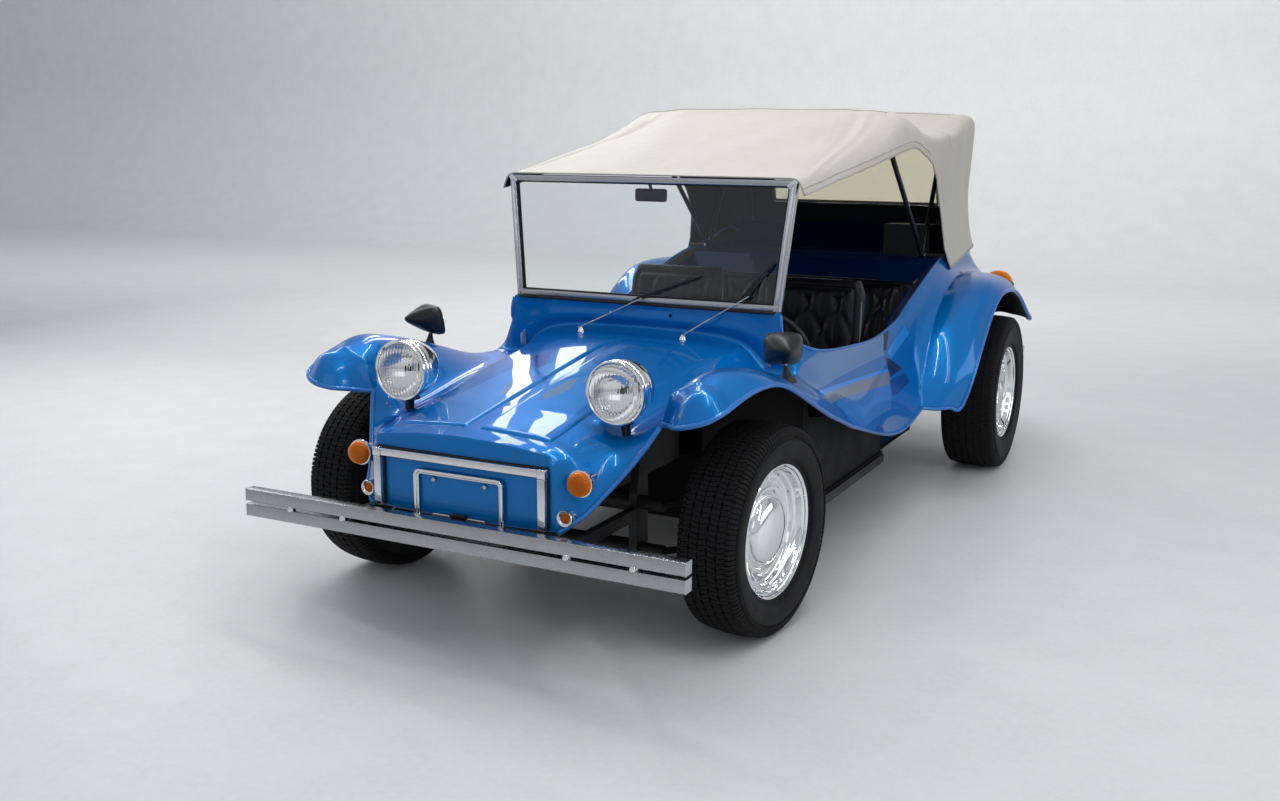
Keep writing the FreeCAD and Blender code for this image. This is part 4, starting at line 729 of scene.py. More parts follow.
def box(material, lo, hi, bevel=0.0, segments=3):
    """A box between two corners, with its edges rounded."""
    bm = bmesh.new()
    bmesh.ops.create_cube(bm, size=1.0)
    for v in bm.verts:
        v.co = Vector(lo[i] + (v.co[i] + 0.5) * (hi[i] - lo[i]) for i in range(3))
    bmesh.ops.bevel(bm, geom=list(bm.edges), offset=bevel, segments=segments, profile=0.5, affect="EDGES")
    mesh = bpy.data.meshes.new("box")
    bm.to_mesh(mesh)
    bm.free()
    mesh.shade_smooth()
    mesh.set_sharp_from_angle(angle=math.radians(50))
    return finish(bpy.data.objects.new("box", mesh), material)


def bar(material, x0, x1, y0, y1, z0, z1, bevel=0.002, segments=3):
    return box(material, at(x0, y0, z0), at(x1, y1, z1), bevel, segments)


def turned(material, profile, origin=(0, 0, 0), axis=Z_WAY, sides=64, sharp=32.0, closed=True, axis_gap=0.01):
    """Turn (radius, height) millimetres about an axis.

    A closed profile's places on the axis keep a hair's breadth from it.
    """
    line = [(r, h) for r, h in profile]
    if closed:
        line = [(max(r, axis_gap), h) for r, h in line + line[:1]]
    spin = Z_WAY.rotation_difference(Vector(axis)).to_matrix()
    verts, faces = [], []
    for a in (2 * PI * k / sides for k in range(sides)):
        verts += [spin @ Vector((r * MM * math.cos(a), r * MM * math.sin(a), h * MM)) + Vector(origin) for r, h in line]
    n = len(line)
    for k in range(sides):
        for a, b in ((k * n + i, (k + 1) % sides * n + i) for i in range(n - 1)):
            faces.append((a, b, b + 1, a + 1))
    obj = mesh_from("turned", verts, faces)
    obj.data.set_sharp_from_angle(angle=math.radians(sharp))
    return finish(obj, material)


def joined(name, objects):
    """Several one-material meshes as one object, keeping their materials."""
    bm, mesh = bmesh.new(), bpy.data.meshes.new(name)
    slots = []
    for obj in objects:
        for face_material in obj.data.materials:
            if face_material not in slots:
                slots.append(face_material)
        wanted = [slots.index(m) for m in obj.data.materials]
        for poly in obj.data.polygons:
            poly.material_index = wanted[poly.material_index]
        bm.from_mesh(obj.data)
    bm.to_mesh(mesh)
    bm.free()
    for obj in objects:
        bpy.data.objects.remove(obj)
    for material in slots:
        mesh.materials.append(material)
    return bpy.data.objects.new(name, mesh)


def flipped(obj):
    """A copy mirrored to the other side of the car, faces kept outward."""
    mesh = obj.data.copy()
    mesh.transform(Matrix.Diagonal((-1, 1, 1, 1)))
    mesh.flip_normals()
    return bpy.data.objects.new("mirrored", mesh)


# ---------------------------------------------------------- the body shell
SHELL = {}
BODY_NODES = ("front_fender_left", "front_fender_right", "side_panel_left", "side_panel_right",
              "rear_fender_left", "rear_fender_right", "hood", "cowl")


def thickened(obj, wall, *materials):
    """Give a sheet its wall; the last of two materials is for the inside."""
    for key in materials:
        obj.data.materials.append(MATERIALS[key])
    solid = obj.modifiers.new("wall", "SOLIDIFY")
    solid.thickness, solid.offset, solid.material_offset = wall, -1.0, len(materials) - 1
    return baked(obj)


def build_body(look):
    """Glass-fibre body, its rolled edges and the two raised hood panels."""
    shell = baked(cage_mesh(body_cage(), 4))
    bm = bmesh.new()
    bm.from_mesh(shell.data)
    bmesh.ops.recalc_face_normals(bm, faces=bm.faces)
    hood_place = at(100, 0, 740)
    hood_face = min(bm.faces, key=lambda f: (f.calc_center_median() - hood_place).length)
    if hood_face.normal.z < 0:
        bmesh.ops.reverse_faces(bm, faces=bm.faces)
    bm.to_mesh(shell.data)
    bm.free()
    shell.data.shade_smooth()
    loop = max(border_loops(shell.data), key=len)
    SHELL["tree"] = BVHTree.FromPolygons([v.co for v in shell.data.vertices],
                                         [p.vertices for p in shell.data.polygons])
    link(thickened(shell, look.wall, "blue", "under"), "body_blue", *BODY_NODES)
    low_lip = stretch(loop, at(322, -562, 408), at(940, 2932, 494))
    rim = stretch(loop, at(534, 566, 898), at(594, 2932, 962))
    edges = []
    for line, radius in ((low_lip, look.lip), (rim, look.lip * 0.8)):
        edge = tube("lip", [p - Vector((0, 0, radius * 0.35)) for p in line[::2]], radius, 10)
        edges += [edge, flipped(edge)]
    link(joined("body_edges", edges), "body_blue")
    link(joined("hood_panels", [raised_patch(side, look.panel_rise) for side, _ in SIDES]), "body_blue")


def drop(x, y):
    """The body's top surface under a place: where it is, and its normal."""
    return SHELL["tree"].ray_cast(Vector((x, y, 1.3)), -Z_WAY)[:2]


def raised_patch(side, rise):
    """Hood panel: a thin plateau with rounded edges that follows the hood."""
    lines_x, lines_y, edge = 46, 120, 0.011
    front, back = at(0, -498, 0).y, at(0, 422, 0).y
    verts = []
    for v in (j / lines_y for j in range(lines_y + 1)):
        y = front + v * 0.92
        inner = 0.016 + 0.006 * (1 - v)
        outer = 0.262 - 0.05 * max(0.0, v - 0.75) / 0.25
        for u in (i / lines_x for i in range(lines_x + 1)):
            x = inner + (outer - inner) * (u * u * (3 - 2 * u) * 0.35 + u * 0.65)
            place, normal = drop(side * x, y)
            gap = min(x - inner, outer - x, (y - front) * 0.9, (back - y) * 0.12)
            t = min(1.0, max(0.0, gap / edge))
            verts.append(place + normal * (rise * (1 - (1 - t) ** 2) - 0.0015 * (1 - t)))
    faces = [face if side > 0 else face[:1] + face[:0:-1] for face in grid_faces(lines_y + 1, lines_x + 1)]
    return finish(raw_mesh("panel", verts, faces), "blue")


# ------------------------------------------------------- plain CAD pieces
# The CAD nodes by the finish they get
FINISHED_NODES = {
    "blue": "hood cowl front_fender_left front_fender_right side_panel_left side_panel_right rear_fender_left "
            "rear_fender_right",
    "chassis": "floor_pan side_rails front_tray front_beam knuckle_left knuckle_right rear_axle",
    "black": "fan_housing wipers top_bows dash steering_column steering_wheel levers luggage_box inside_mirror",
    "chrome": "rim_front_left rim_front_right rim_rear_left rim_rear_right headlamp_shells",
    "rubber": "tyre_front_left tyre_front_right tyre_rear_left tyre_rear_right",
    "vinyl": "seat_left seat_right rear_bench", "amber": "signal_lamps small_lamps rear_marker_lamps",
    "trim": "crank_pulley nose_trim plate_frame", "alloy": "transaxle engine", "bumper": "front_bumper rear_bumper",
    "tub": "rear_tub", "under": "footwell", "exhaust": "exhaust", "screen_alloy": "windscreen_frame",
    "pane": "windscreen_glass", "cream": "soft_top", "vinyl_pane": "rear_window", "lens": "headlamp_lenses",
    "red": "tail_lamps", "crackle": "outside_mirrors",
}


def finish_nodes():
    for key, names in FINISHED_NODES.items():
        for name in names.split():
            finish(frame["nodes"][name], key)


# ------------------------------------------------------- repeats by nodes
def repeat_tree(name, more_inputs, place):
    """Geometry nodes: copies of one piece, placed by `place`, as one mesh."""
    tree = bpy.data.node_groups.new(name, "GeometryNodeTree")
    inputs = (("Geometry", "Geometry"), ("Count", "Int"), *more_inputs, ("Finish", "Material"))
    for socket, kind in inputs:
        tree.interface.new_socket(socket, in_out="INPUT", socket_type="NodeSocket" + kind)
    tree.interface.new_socket("Geometry", in_out="OUTPUT", socket_type="NodeSocketGeometry")
    given = tree.nodes.new("NodeGroupInput").outputs
    copies = add_node(tree, "GeometryNodeInstanceOnPoints", (("Instance", given["Geometry"]), *place(tree, given)))
    whole = add_node(tree, "GeometryNodeRealizeInstances", ((0, copies.outputs[0]),))
    links = (("Geometry", whole.outputs[0]), ("Material", given["Finish"]))
    plug(tree, tree.nodes.new("NodeGroupOutput").inputs[0], add_node(tree, "GeometryNodeSetMaterial", links).outputs[0])


def ring_places(tree, given):
    """Evenly turned about the z axis."""
    points = add_node(tree, "GeometryNodePoints", (("Count", given["Count"]),))
    angle = tree.nodes.new("GeometryNodeInputIndex").outputs[0]
    for operation, by in (("DIVIDE", given["Count"]), ("MULTIPLY", 2 * PI)):
        angle = add_node(tree, "ShaderNodeMath", ((0, angle), (1, by)), operation=operation).outputs[0]
    turn = add_node(tree, "ShaderNodeCombineXYZ", (("Z", angle),))
    rotation = add_node(tree, "FunctionNodeEulerToRotation", ((0, turn.outputs[0]),))
    return ("Points", points.outputs[0]), ("Rotation", rotation.outputs[0])


def row_places(tree, given):
    """At even steps along a line."""
    line = add_node(tree, "GeometryNodeMeshLine", (("Count", given["Count"]), ("Offset", given["Step"])))
    return (("Points", line.outputs[0]),)


def repeated(obj, tree_name, **values):
    """Run a repeat on one piece and keep the result as a plain mesh."""
    modifier = obj.modifiers.new(tree_name, "NODES")
    modifier.node_group = bpy.data.node_groups[tree_name]
    for item in modifier.node_group.interface.items_tree:
        if item.in_out == "INPUT" and item.name in values:
            modifier[item.identifier] = values[item.name]
    return baked(obj)


def build_repeats():
    repeat_tree("Ring of pieces", (), ring_places)
    repeat_tree("Row of pieces", (("Step", "Vector"),), row_places)


# ----------------------------------------------------------------- wheels
RIM_FLANGE = 207.5
WHEELS = {
    # tyre radius, tyre width, rim width, dish, pitches round, ribs
    "front": (327.0, 196.0, 158.0, 42.0, 66, 5),
    "rear": (348.0, 236.0, 200.0, 78.0, 84, 6),
}


def smooth_line(points, steps=5):
    """Catmull-Rom points through a line of (r, h) places."""
    p = [points[0]] + list(points) + [points[-1]]
    line = []
    for i in range(1, len(p) - 2):
        for k in range(steps):
            t = k / steps
            line.append(tuple(
                0.5 * (2 * p[i][d] + (p[i + 1][d] - p[i - 1][d]) * t
                       + (2 * p[i - 1][d] - 5 * p[i][d] + 4 * p[i + 1][d] - p[i + 2][d]) * t * t
                       + (3 * p[i][d] - p[i - 1][d] - 3 * p[i + 1][d] + p[i + 2][d]) * t ** 3)
                for d in range(2)))
    line.append(points[-1])
    return line


def tread_height(radius, width, h):
    """Radius of the tread's top at a distance from the middle plane."""
    return radius - 4.5 * (abs(h) / (width / 2 - 30)) ** 2.4


def polar(r, a, h):
    """Millimetres about the wheel's axis to a place in metres."""
    return r * math.cos(a) * MM, r * math.sin(a) * MM, h * MM


def prism(bm, rings):
    """A closed solid through rings of places."""
    rings = [[bm.verts.new(p) for p in ring] for ring in rings]
    for a, b in zip(rings, rings[1:]):
        for i in range(len(a)):
            k = (i + 1) % len(a)
            bm.faces.new((a[i], a[k], b[k], b[i]))
    bm.faces.new(rings[0])
    bm.faces.new(rings[-1][::-1])


def pitch_mesh(radius, width, count, ribs, zigzag):
    """One pitch of tread blocks about the wheel's axis."""
    depth, gap, tread, step = 9.0, 4.5, width - 52, 2 * PI / count
    rib = (tread + gap) / ribs
    bm = bmesh.new()
    for i in range(ribs):
        way = 1 if i % 2 else -1
        low = -tread / 2 + i * rib
        high = low + rib - gap
        for start, end in ((0.0, 0.42), (0.5, 0.92)):
            rings = []
            for t in (start + (end - start) * k / 3 for k in range(4)):
                wave = zigzag * (abs((t * 2) % 2 - 1) * 2 - 1) * way
                ring = []
                for h, rise in ((low, -depth), (low, -1.2), (low + 1.0, 0),
                                (high - 1.0, 0), (high, -1.2), (high, -depth)):
                    a = (t + 0.16 * way * (h - (low + high) / 2) / (high - low)) * step
                    ring.append(polar(tread_height(radius, width, h + wave) + rise, a, h + wave))
                rings.append(ring)
            prism(bm, rings)
    # shoulder lugs run over the edge on to the sidewall
    lug = ((tread / 2 + 1, -depth), (tread / 2 + 1, 0), (width / 2 - 15, -2.5), (width / 2 - 6.5, -13),
           (width / 2 - 2.5, -30), (width / 2 - 6, -32))
    shoulder = tread_height(radius, width, tread / 2)
    for side, _ in SIDES:
        for ends in ((0.02, 0.40), (0.52, 0.90)):
            prism(bm, [[polar(shoulder + rise, (t + 0.1 * side) * step, side * h) for h, rise in lug] for t in ends])
    bmesh.ops.recalc_face_normals(bm, faces=bm.faces)
    mesh = bpy.data.meshes.new("pitch")
    bm.to_mesh(mesh)
    bm.free()
    return bpy.data.objects.new("pitch", mesh)


def tyre_of(kind):
    """Tyre about its own axis, +z outward: carcass, tread and rings."""
    radius, width, rim_width, _, count, ribs = WHEELS[kind]
    half, bead, mid = width / 2, rim_width / 2 - 12, (RIM_FLANGE + radius) / 2
    side = [(191, bead - 2), (200, bead + 6), (RIM_FLANGE + 3, bead + 11), (RIM_FLANGE + 9, bead + 12),
            (RIM_FLANGE + 14, bead + 13), (RIM_FLANGE + 22, half - 8), (mid - 8, half - 1.5), (mid + 12, half - 0.5),
            (radius - 42, half - 4), (radius - 30, half - 8), (radius - 15, half - 20), (radius - 9.5, half - 32)]
    crown = [(tread_height(radius, width, h) - 8.0, h) for h in np.linspace(half - 44, 44 - half, 7)]
    line = smooth_line(side) + crown + smooth_line([(r, -h) for r, h in side[::-1]])
    parts = [turned("rubber", line + [(186, 20 - bead), (186, bead - 20)], sides=120)]
    pitch = pitch_mesh(radius, width, count, ribs, 2.6 if kind == "front" else 1.6)
    parts.append(repeated(pitch, "Ring of pieces", Count=count, Finish=MATERIALS["rubber_worn"]))
    turns = np.linspace(0, 2 * PI, 97)[:-1]
    for sign, _ in SIDES:
        for r, h in ((RIM_FLANGE + 17, half - 12.5), (mid + 22, half - 1.2), (mid + 27, half - 1.6)):
            points = [Vector((r * math.cos(a), r * math.sin(a), sign * h)) * MM for a in turns]
            parts.append(tube("rubber", points, 0.0016, 5, closed=True))
    return joined("tyre_" + kind, parts)


def rim_of(kind):
    """Rim with its moon cap, drum and slots, about its own axis."""
    _, _, rim_width, dish, _, _ = WHEELS[kind]
    face, edge, lip = rim_width / 2 - dish, rim_width / 2, RIM_FLANGE
    out = [(lip - 1, edge - 7), (lip, edge - 3), (lip - 2, edge - 0.6), (lip - 5, edge - 1),
           (lip - 9, edge - 4), (198, edge - 8), (193, edge - 10), (189, edge - 14), (186.5, edge - 26),
           (185, edge - 33), (181, edge - 36), (177, edge - 38), (175.5, edge - 44), (175, face - 2), (172, face - 9),
           (166, face - 12), (158, face - 13), (148, face - 10), (141, face - 5), (137, face + 1), (132, face + 4),
           (124, face + 4), (118, face), (114, face - 5), (111, face - 5), (110, face), (108, face + 7),
           (101, face + 17), (88, face + 25), (70, face + 30.5), (48, face + 34), (24, face + 36), (0, face + 36.4)]
    back = [(0, face + 33), (60, face + 28), (100, face + 10), (108, face - 12), (140, face - 20), (168, face - 20),
            (168, 34 - edge), (187, 18 - edge), (200, 6 - edge), (lip - 4, -edge), (lip, -edge), (lip, 6 - edge),
            (193, 14 - edge), (192, 24 - edge), (174, 38 - edge), (178, edge - 50), (191, edge - 32), (192, edge - 14)]
    drum = [(34, face - 30), (112, face - 30), (122, face - 40), (124, -edge + 70), (116, -edge + 70),
            (112, face - 46), (34, face - 40)]
    slot = turned("chrome", [(0, 0.4), (5.0, 0.4), (6.4, 0.9), (7.4, 0.2), (7.4, -1.0), (0, -1.0)],
                  (0.151, 0, (face - 10.9) * MM), (0.12, 0, 1), 20)
    return joined("rim_" + kind, [turned("chrome", out + back, sides=128, sharp=24.0), turned("exhaust", drum),
                                  repeated(slot, "Ring of pieces", Count=20, Finish=MATERIALS["chrome"])])


def build_wheels(look):
    """Four wheels: each pair is made once and placed on its hubs."""
    for kind in ("front", "rear"):
        for which, slot, piece in (("tyre_", "tyre_rubber", tyre_of(kind)), ("rim_", "wheel_chrome", rim_of(kind))):
            for side, name in SIDES:
                joint = JOINTS["spin_" + kind + "_" + name]
                axis = Vector(joint["axis"]).normalized() * side
                turn = Z_WAY.rotation_difference(axis).to_matrix().to_4x4()
                mesh = piece.data.copy()
                if side < 0:
                    mesh.transform(Matrix.Diagonal((1, -1, 1, 1)))
                    mesh.flip_normals()
                mesh.transform(Matrix.Translation(Vector(joint["pos_m"])) @ turn)
                node = which + kind + "_" + name
                obj = bpy.data.objects.new("dressed_" + node, mesh)
                link(obj, slot, node, body="wheel_" + kind + "_" + name)
            bpy.data.objects.remove(piece)


# ------------------------------------------------------------------ lamps
# Lamp profiles: radius and distance behind the lamp's place, in millimetres
HEAD_SHELL = [(86, -2), (90, -5), (94, -4), (96, 1), (95.5, 8), (93, 13), (91.5, 15), (93.5, 17), (95, 22), (94.8, 30),
              (93, 33), (91, 35), (92, 38), (91.6, 50), (88, 72), (80, 94), (68, 114), (52, 129), (34, 138), (16, 143),
              (0, 144), (0, 140), (40, 132), (70, 104), (86, 60), (88, 10)]
HEAD_GLASS = [(0, -17), (25, -16.2), (50, -12.5), (70, -7), (82, -1.5), (87, 2), (87, 4.5), (80, 2), (68, -3.5),
              (48, -9), (25, -12.6), (0, -13.4)]
HEAD_BOWL = [(86.5, 6), (82, 16), (70, 34), (52, 52), (34, 62), (16, 67), (10, 68), (0, 68), (0, 70), (34, 65),
             (56, 54), (74, 36), (87, 16), (87.4, 6)]
HEAD_BULB = [(0, 30), (6, 31), (9, 35), (9, 60), (12, 62), (12, 68), (0, 68)]
HEAD_FOOT = [(0.1, 0), (30, 0), (26, 12), (17, 22), (0.1, 22)]
SIGNAL_LENS = [(0, -10), (12, -9.2), (23, -6), (30.5, 0), (34.5, 8), (35.8, 16), (35.8, 22), (0, 22)]
SIGNAL_BASE = [(35.8, 18), (39, 19), (39.5, 24), (38, 29), (33, 38), (26, 46), (20, 52), (18, 90), (0, 90), (0, 18)]
SIGNAL_SCREW = [(0, -11), (3.2, -10.7), (4.0, -9), (4.2, 3), (0, 3)]
SMALL_RING = [(15, 4), (19, 0.5), (23, 0), (24.5, 3), (24, 10), (22.5, 30), (20, 45), (12, 58), (0, 60), (0, 12),
              (15, 8)]
SMALL_LENS = [(0, 5), (8, 5.5), (15.5, 8), (15.5, 11), (0, 11)]
MARKER_LENS = [(0, 46), (16, 44.5), (30, 38), (41, 26), (47, 13), (49, 6), (49, 2), (0, 2)]
MARKER_FOOT = [(49.5, 6), (53, 4), (54, 0), (54, -8), (0, -8), (0, 6)]
MARKER_SCALE = (1.35, 1.3)
TAIL_LENS = [(0, 38), (20, 36), (34, 29), (42, 16), (43, 6), (0, 6)]
TAIL_BASE = [(43.5, 9), (46, 8), (46, 0), (0, 0), (0, 9)]
# Places on the left: millimetres, y from the front axle
HEADLAMP, SIGNAL, SMALL_LAMP, MARKER, TAIL = (
    (382, -337, 770), (383, -561, 552), (343, -562, 451), (812, 2690, 812), (440, 2975, 740))
STALK = ((386, -285, 692), (388, -284, 668), (391, -283, 640), (395, -280, 600))


def beside(side, place):
    return at(place[0] * side, *place[1:])


def facing(place, parts, sides=64, sharp=40.0):
    """Turned parts about a line that faces the front."""
    return [turned(material, profile, place, Y_WAY, sides, sharp) for material, profile in parts]


def build_lamps(look):
    """Headlamps, signal lamps, small lamps, rear markers and tail lamps."""
    lean = Vector((0, math.sin(math.radians(14)), math.cos(math.radians(14))))
    for side, label in SIDES:
        left = side > 0
        place = beside(side, HEADLAMP)
        glass = joined("headlamp_lens_" + label, facing(place, [("lens", HEAD_GLASS)], 96))
        link(glass, "clear_glass", left and "headlamp_lenses")
        parts = facing(place, (("chrome", HEAD_SHELL), ("reflector", HEAD_BOWL), ("lens", HEAD_BULB)), 96)
        parts.append(tube("black", [beside(side, p) for p in STALK], 0.014, 20))
        parts.append(turned("black", HEAD_FOOT, (place.x, at(0, STALK[1][1], 0).y, 0.672), sides=32))
        link(joined("headlamp_" + label, parts), "trim_chrome", left and "headlamp_shells")
    for side, label in SIDES:
        left = side > 0
        place = beside(side, SIGNAL)
        parts = facing(place, (("amber", SIGNAL_LENS), ("trim", SIGNAL_BASE)))
        for x in (-0.021, 0.021):
            parts += facing(place + Vector((x, 0.006, 0)), [("trim", SIGNAL_SCREW)], 16)
        link(joined("signal_lamp_" + label, parts), "amber_lens", left and "signal_lamps")
        parts = facing(beside(side, SMALL_LAMP), (("trim", SMALL_RING), ("amber", SMALL_LENS)))
        link(joined("small_lamp_" + label, parts), "trim_chrome", left and "small_lamps")
    for side, label in SIDES:
        left = side > 0
        wide, high = MARKER_SCALE
        parts = [turned(material, [(r * wide, h * high) for r, h in profile], beside(side, MARKER), lean)
                 for material, profile in (("amber", MARKER_LENS), ("black", MARKER_FOOT))]
        link(joined("marker_" + label, parts), "amber_lens", left and "rear_marker_lamps")
        parts = facing(beside(side, TAIL), (("red", TAIL_LENS), ("black", TAIL_BASE)), sharp=32.0)
        link(joined("tail_lamp_" + label, parts), "red_lens", left and "tail_lamps")


# ----------------------------------------------------- nose and bumpers
def rounded_frame(half, low, high, radius, y, thick):
    """A thin bar bent round a rectangle with rounded corners, facing -y."""
    corners_at = ((half - radius, high - radius), (radius - half, high - radius), (radius - half, low + radius),
                  (half - radius, low + radius))
    points = []
    for quarter, (cx, cz) in enumerate(corners_at):
        for a in (math.radians(90 * quarter + 90 * k / 8) for k in range(9)):
            points.append(at(cx + radius * math.cos(a), y, cz + radius * math.sin(a)))
    return tube("trim", points, thick, 12, closed=True)


def build_front_trim(look):
    """Bright strips round the nose, the plate frame and its bracket."""
    y0, y1 = -590, -566
    strips = [bar("trim", -270, 270, y0 + 2, y1, 566, 588)]
    strips += [bar("trim", x0, x1, y0 + 2, y1, 414, 562) for x0, x1 in ((272, 296), (-296, -272))]
    strips += [bar("trim", x0, x1, y0, y1, 563, 590, 0.003) for x0, x1 in ((271, 298), (-298, -271))]
    for x0, x1, z0, z1 in ((-298, 298, 560, 592), (268, 299, 412, 590), (-299, -268, 412, 590)):
        strips.append(bar("seal", x0, x1, y1 - 6, y1 + 3, z0, z1))
    link(joined("nose_strips", strips), "trim_chrome", "nose_trim")
    holder = [
        rounded_frame(150, 389, 536, 16, -581, 0.0055), rounded_frame(143, 396, 529, 12, -577, 0.0045),
        bar("screen_alloy", -64, 64, -579, -570, 391, 408), bar("black", -26, 26, -584, -572, 394, 420, 0.003),
        bar("screen_alloy", -92, -30, -583, -574, 400, 414, 0.004),
        bar("screen_alloy", 30, 92, -583, -574, 400, 414, 0.004),
    ]
    screw = [(0.1, -6), (6, -5), (8, -1), (8, 2), (0.1, 2)]
    holder += [turned("screen_alloy", screw, at(x, -571, 512), Y_WAY, 20) for x in (-89, 89)]
    link(joined("plate_holder", holder), "trim_chrome", "plate_frame")


BUMPER_BOLT = [(0.1, -8), (6, -6.5), (10, -2), (11.5, 1), (11.5, 12), (0.1, 12)]
# Bumpers: face y, half width, lower edge, way to the car, places of the bolts
BUMPERS = {"front": (-645, 757, 328, 1, (-578, -376, 395, 600)), "rear": (3120, 872, 372, -1, (-600, -390, 390, 600))}


def build_bumpers(look):
    """Twin-bar bumpers with end caps, and bolts in the gap."""
    for label, (face_y, half, low, way, bolts) in BUMPERS.items():
        parts = []
        y0, y1 = sorted((face_y, face_y + 38 * way))
        for z in (low, low + 48):
            parts.append(bar("bumper", -half + 3, half - 3, y0, y1, z, z + 38, 0.0025))
            for side, _ in SIDES:
                ends = sorted((side * (half - 4), side * half))
                parts.append(bar("screen_alloy", *ends, y0 - 0.5 * (way > 0), y1, z - 0.5, z + 38.5, 0.0012))
        parts += [turned("trim", BUMPER_BOLT, at(x, face_y + 2 * way, low + 43), Y_WAY * way, 24) for x in bolts]
        stay = sorted((face_y + 38 * way, face_y + 46 * way))
        parts += [bar("chassis", x - 6, x + 6, *stay, low + 2, low + 84) for x in (-300, -196, 196, 300)]
        for side, _ in SIDES:
            if label == "front":
                parts.append(bar("chassis", *sorted((side * 350, side * 376)), face_y + 38, -188, 352, 390))
            else:
                arm = sorted((side * 420, side * 450))
                parts.append(bar("chassis", *arm, 2996, face_y - 38, 392, 438))
                parts.append(bar("chassis", *arm, 2979, 2996, 396, 690))
        link(joined("bumper_" + label, parts), "bumper_alloy", label + "_bumper")


# ---------------------------------------------------- windscreen pieces
# The windscreen plane: height, half width and y at its foot and at its head
SCREEN_FOOT, SCREEN_HEAD = (911, 525, 582), (1349, 568, 608)
# Upright bars: finish, z of both ends, distance ahead, inset of both ends,
# width, depth and bevel; cross bars: finish, z, ahead, inset and the same
UPRIGHTS = (
    ("screen_alloy", 715, 1349, 0, 11, 11, 24, 29, 3), ("trim", 930, 1330, 15.5, 11, 11, 8, 3, 1),
    ("seal", 930, 1330, 2, 26, 26, 6, 14, 1), ("trim", 1322, 1347, 16, 26, 2, 20, 3, 1),
)
CROSS_BARS = (
    ("screen_alloy", 1338, 0, 0, 22, 29, 3), ("screen_alloy", 916, 0, 0, 22, 29, 3), ("seal", 1325, 2, 20, 6, 14, 1),
    ("seal", 929, 2, 20, 6, 14, 1), ("seal", 901.5, 4, -2, 9, 30, 2),
)


def screen_place(share, z, ahead=0.0, inset=0.0):
    """A place on the leaning windscreen plane, in millimetres."""
    rise = (z - SCREEN_FOOT[0]) / (SCREEN_HEAD[0] - SCREEN_FOOT[0])
    half, y = (low + rise * (high - low) for low, high in zip(SCREEN_FOOT[1:], SCREEN_HEAD[1:]))
    return at(share * (half - inset), y - ahead, z)


def beam(material, a, b, wide, deep, bevel=3, up=Y_WAY):
    """A bar from a to b; `deep` is measured along `up`, in millimetres."""
    way = (b - a).normalized()
    side = way.cross(up).normalized()
    top = side.cross(way).normalized()
    x, y = wide * MM / 2, deep * MM / 2
    obj = box(material, Vector((-x, -y, 0)), Vector((x, y, (b - a).length)), bevel * MM)
    turn = Matrix((side, top, way)).transposed().to_4x4()
    if turn.determinant() < 0:
        turn = Matrix((-side, top, way)).transposed().to_4x4()
    obj.data.transform(Matrix.Translation(a) @ turn)
    return obj


def build_windscreen(look):
    """Bright frame with corner brackets and seals."""
    parts = []
    for side, _ in SIDES:
        for material, z0, z1, ahead, inset0, inset1, *size in UPRIGHTS:
            ends = screen_place(side, z0, ahead, inset0), screen_place(side, z1, ahead, inset1)
            parts.append(beam(material, *ends, *size))
    for material, z, ahead, inset, *size in CROSS_BARS:
        parts.append(beam(material, screen_place(-1, z, ahead, inset), screen_place(1, z, ahead, inset), *size))
    link(joined("screen_frame", parts), "bright_alloy", "windscreen_frame")


MIRROR, MIRROR_FOOT = (676, 225, 842), (692, 232)
# Mirror housing ahead of the glass: distance, half width, height, squareness
MIRROR_STATIONS = ((-26, 56, 48, 4.2), (-22, 60, 52, 4.2), (-6, 62, 54, 3.8), (14, 58, 50, 3.0), (38, 49, 41, 2.3),
                   (62, 37, 29, 1.9), (82, 24, 18, 1.8), (94, 13, 10, 1.9), (99, 5, 4, 2.0))
MIRROR_CONE = [(0, 0), (31, 0), (27, 8), (17, 22), (11, 38), (8, 52), (7, 58), (0, 60)]


def rounded_square(turn, power):
    """A place on the unit superellipse."""
    return tuple(math.copysign(abs(c) ** (2 / power), c) for c in (math.cos(turn), math.sin(turn)))


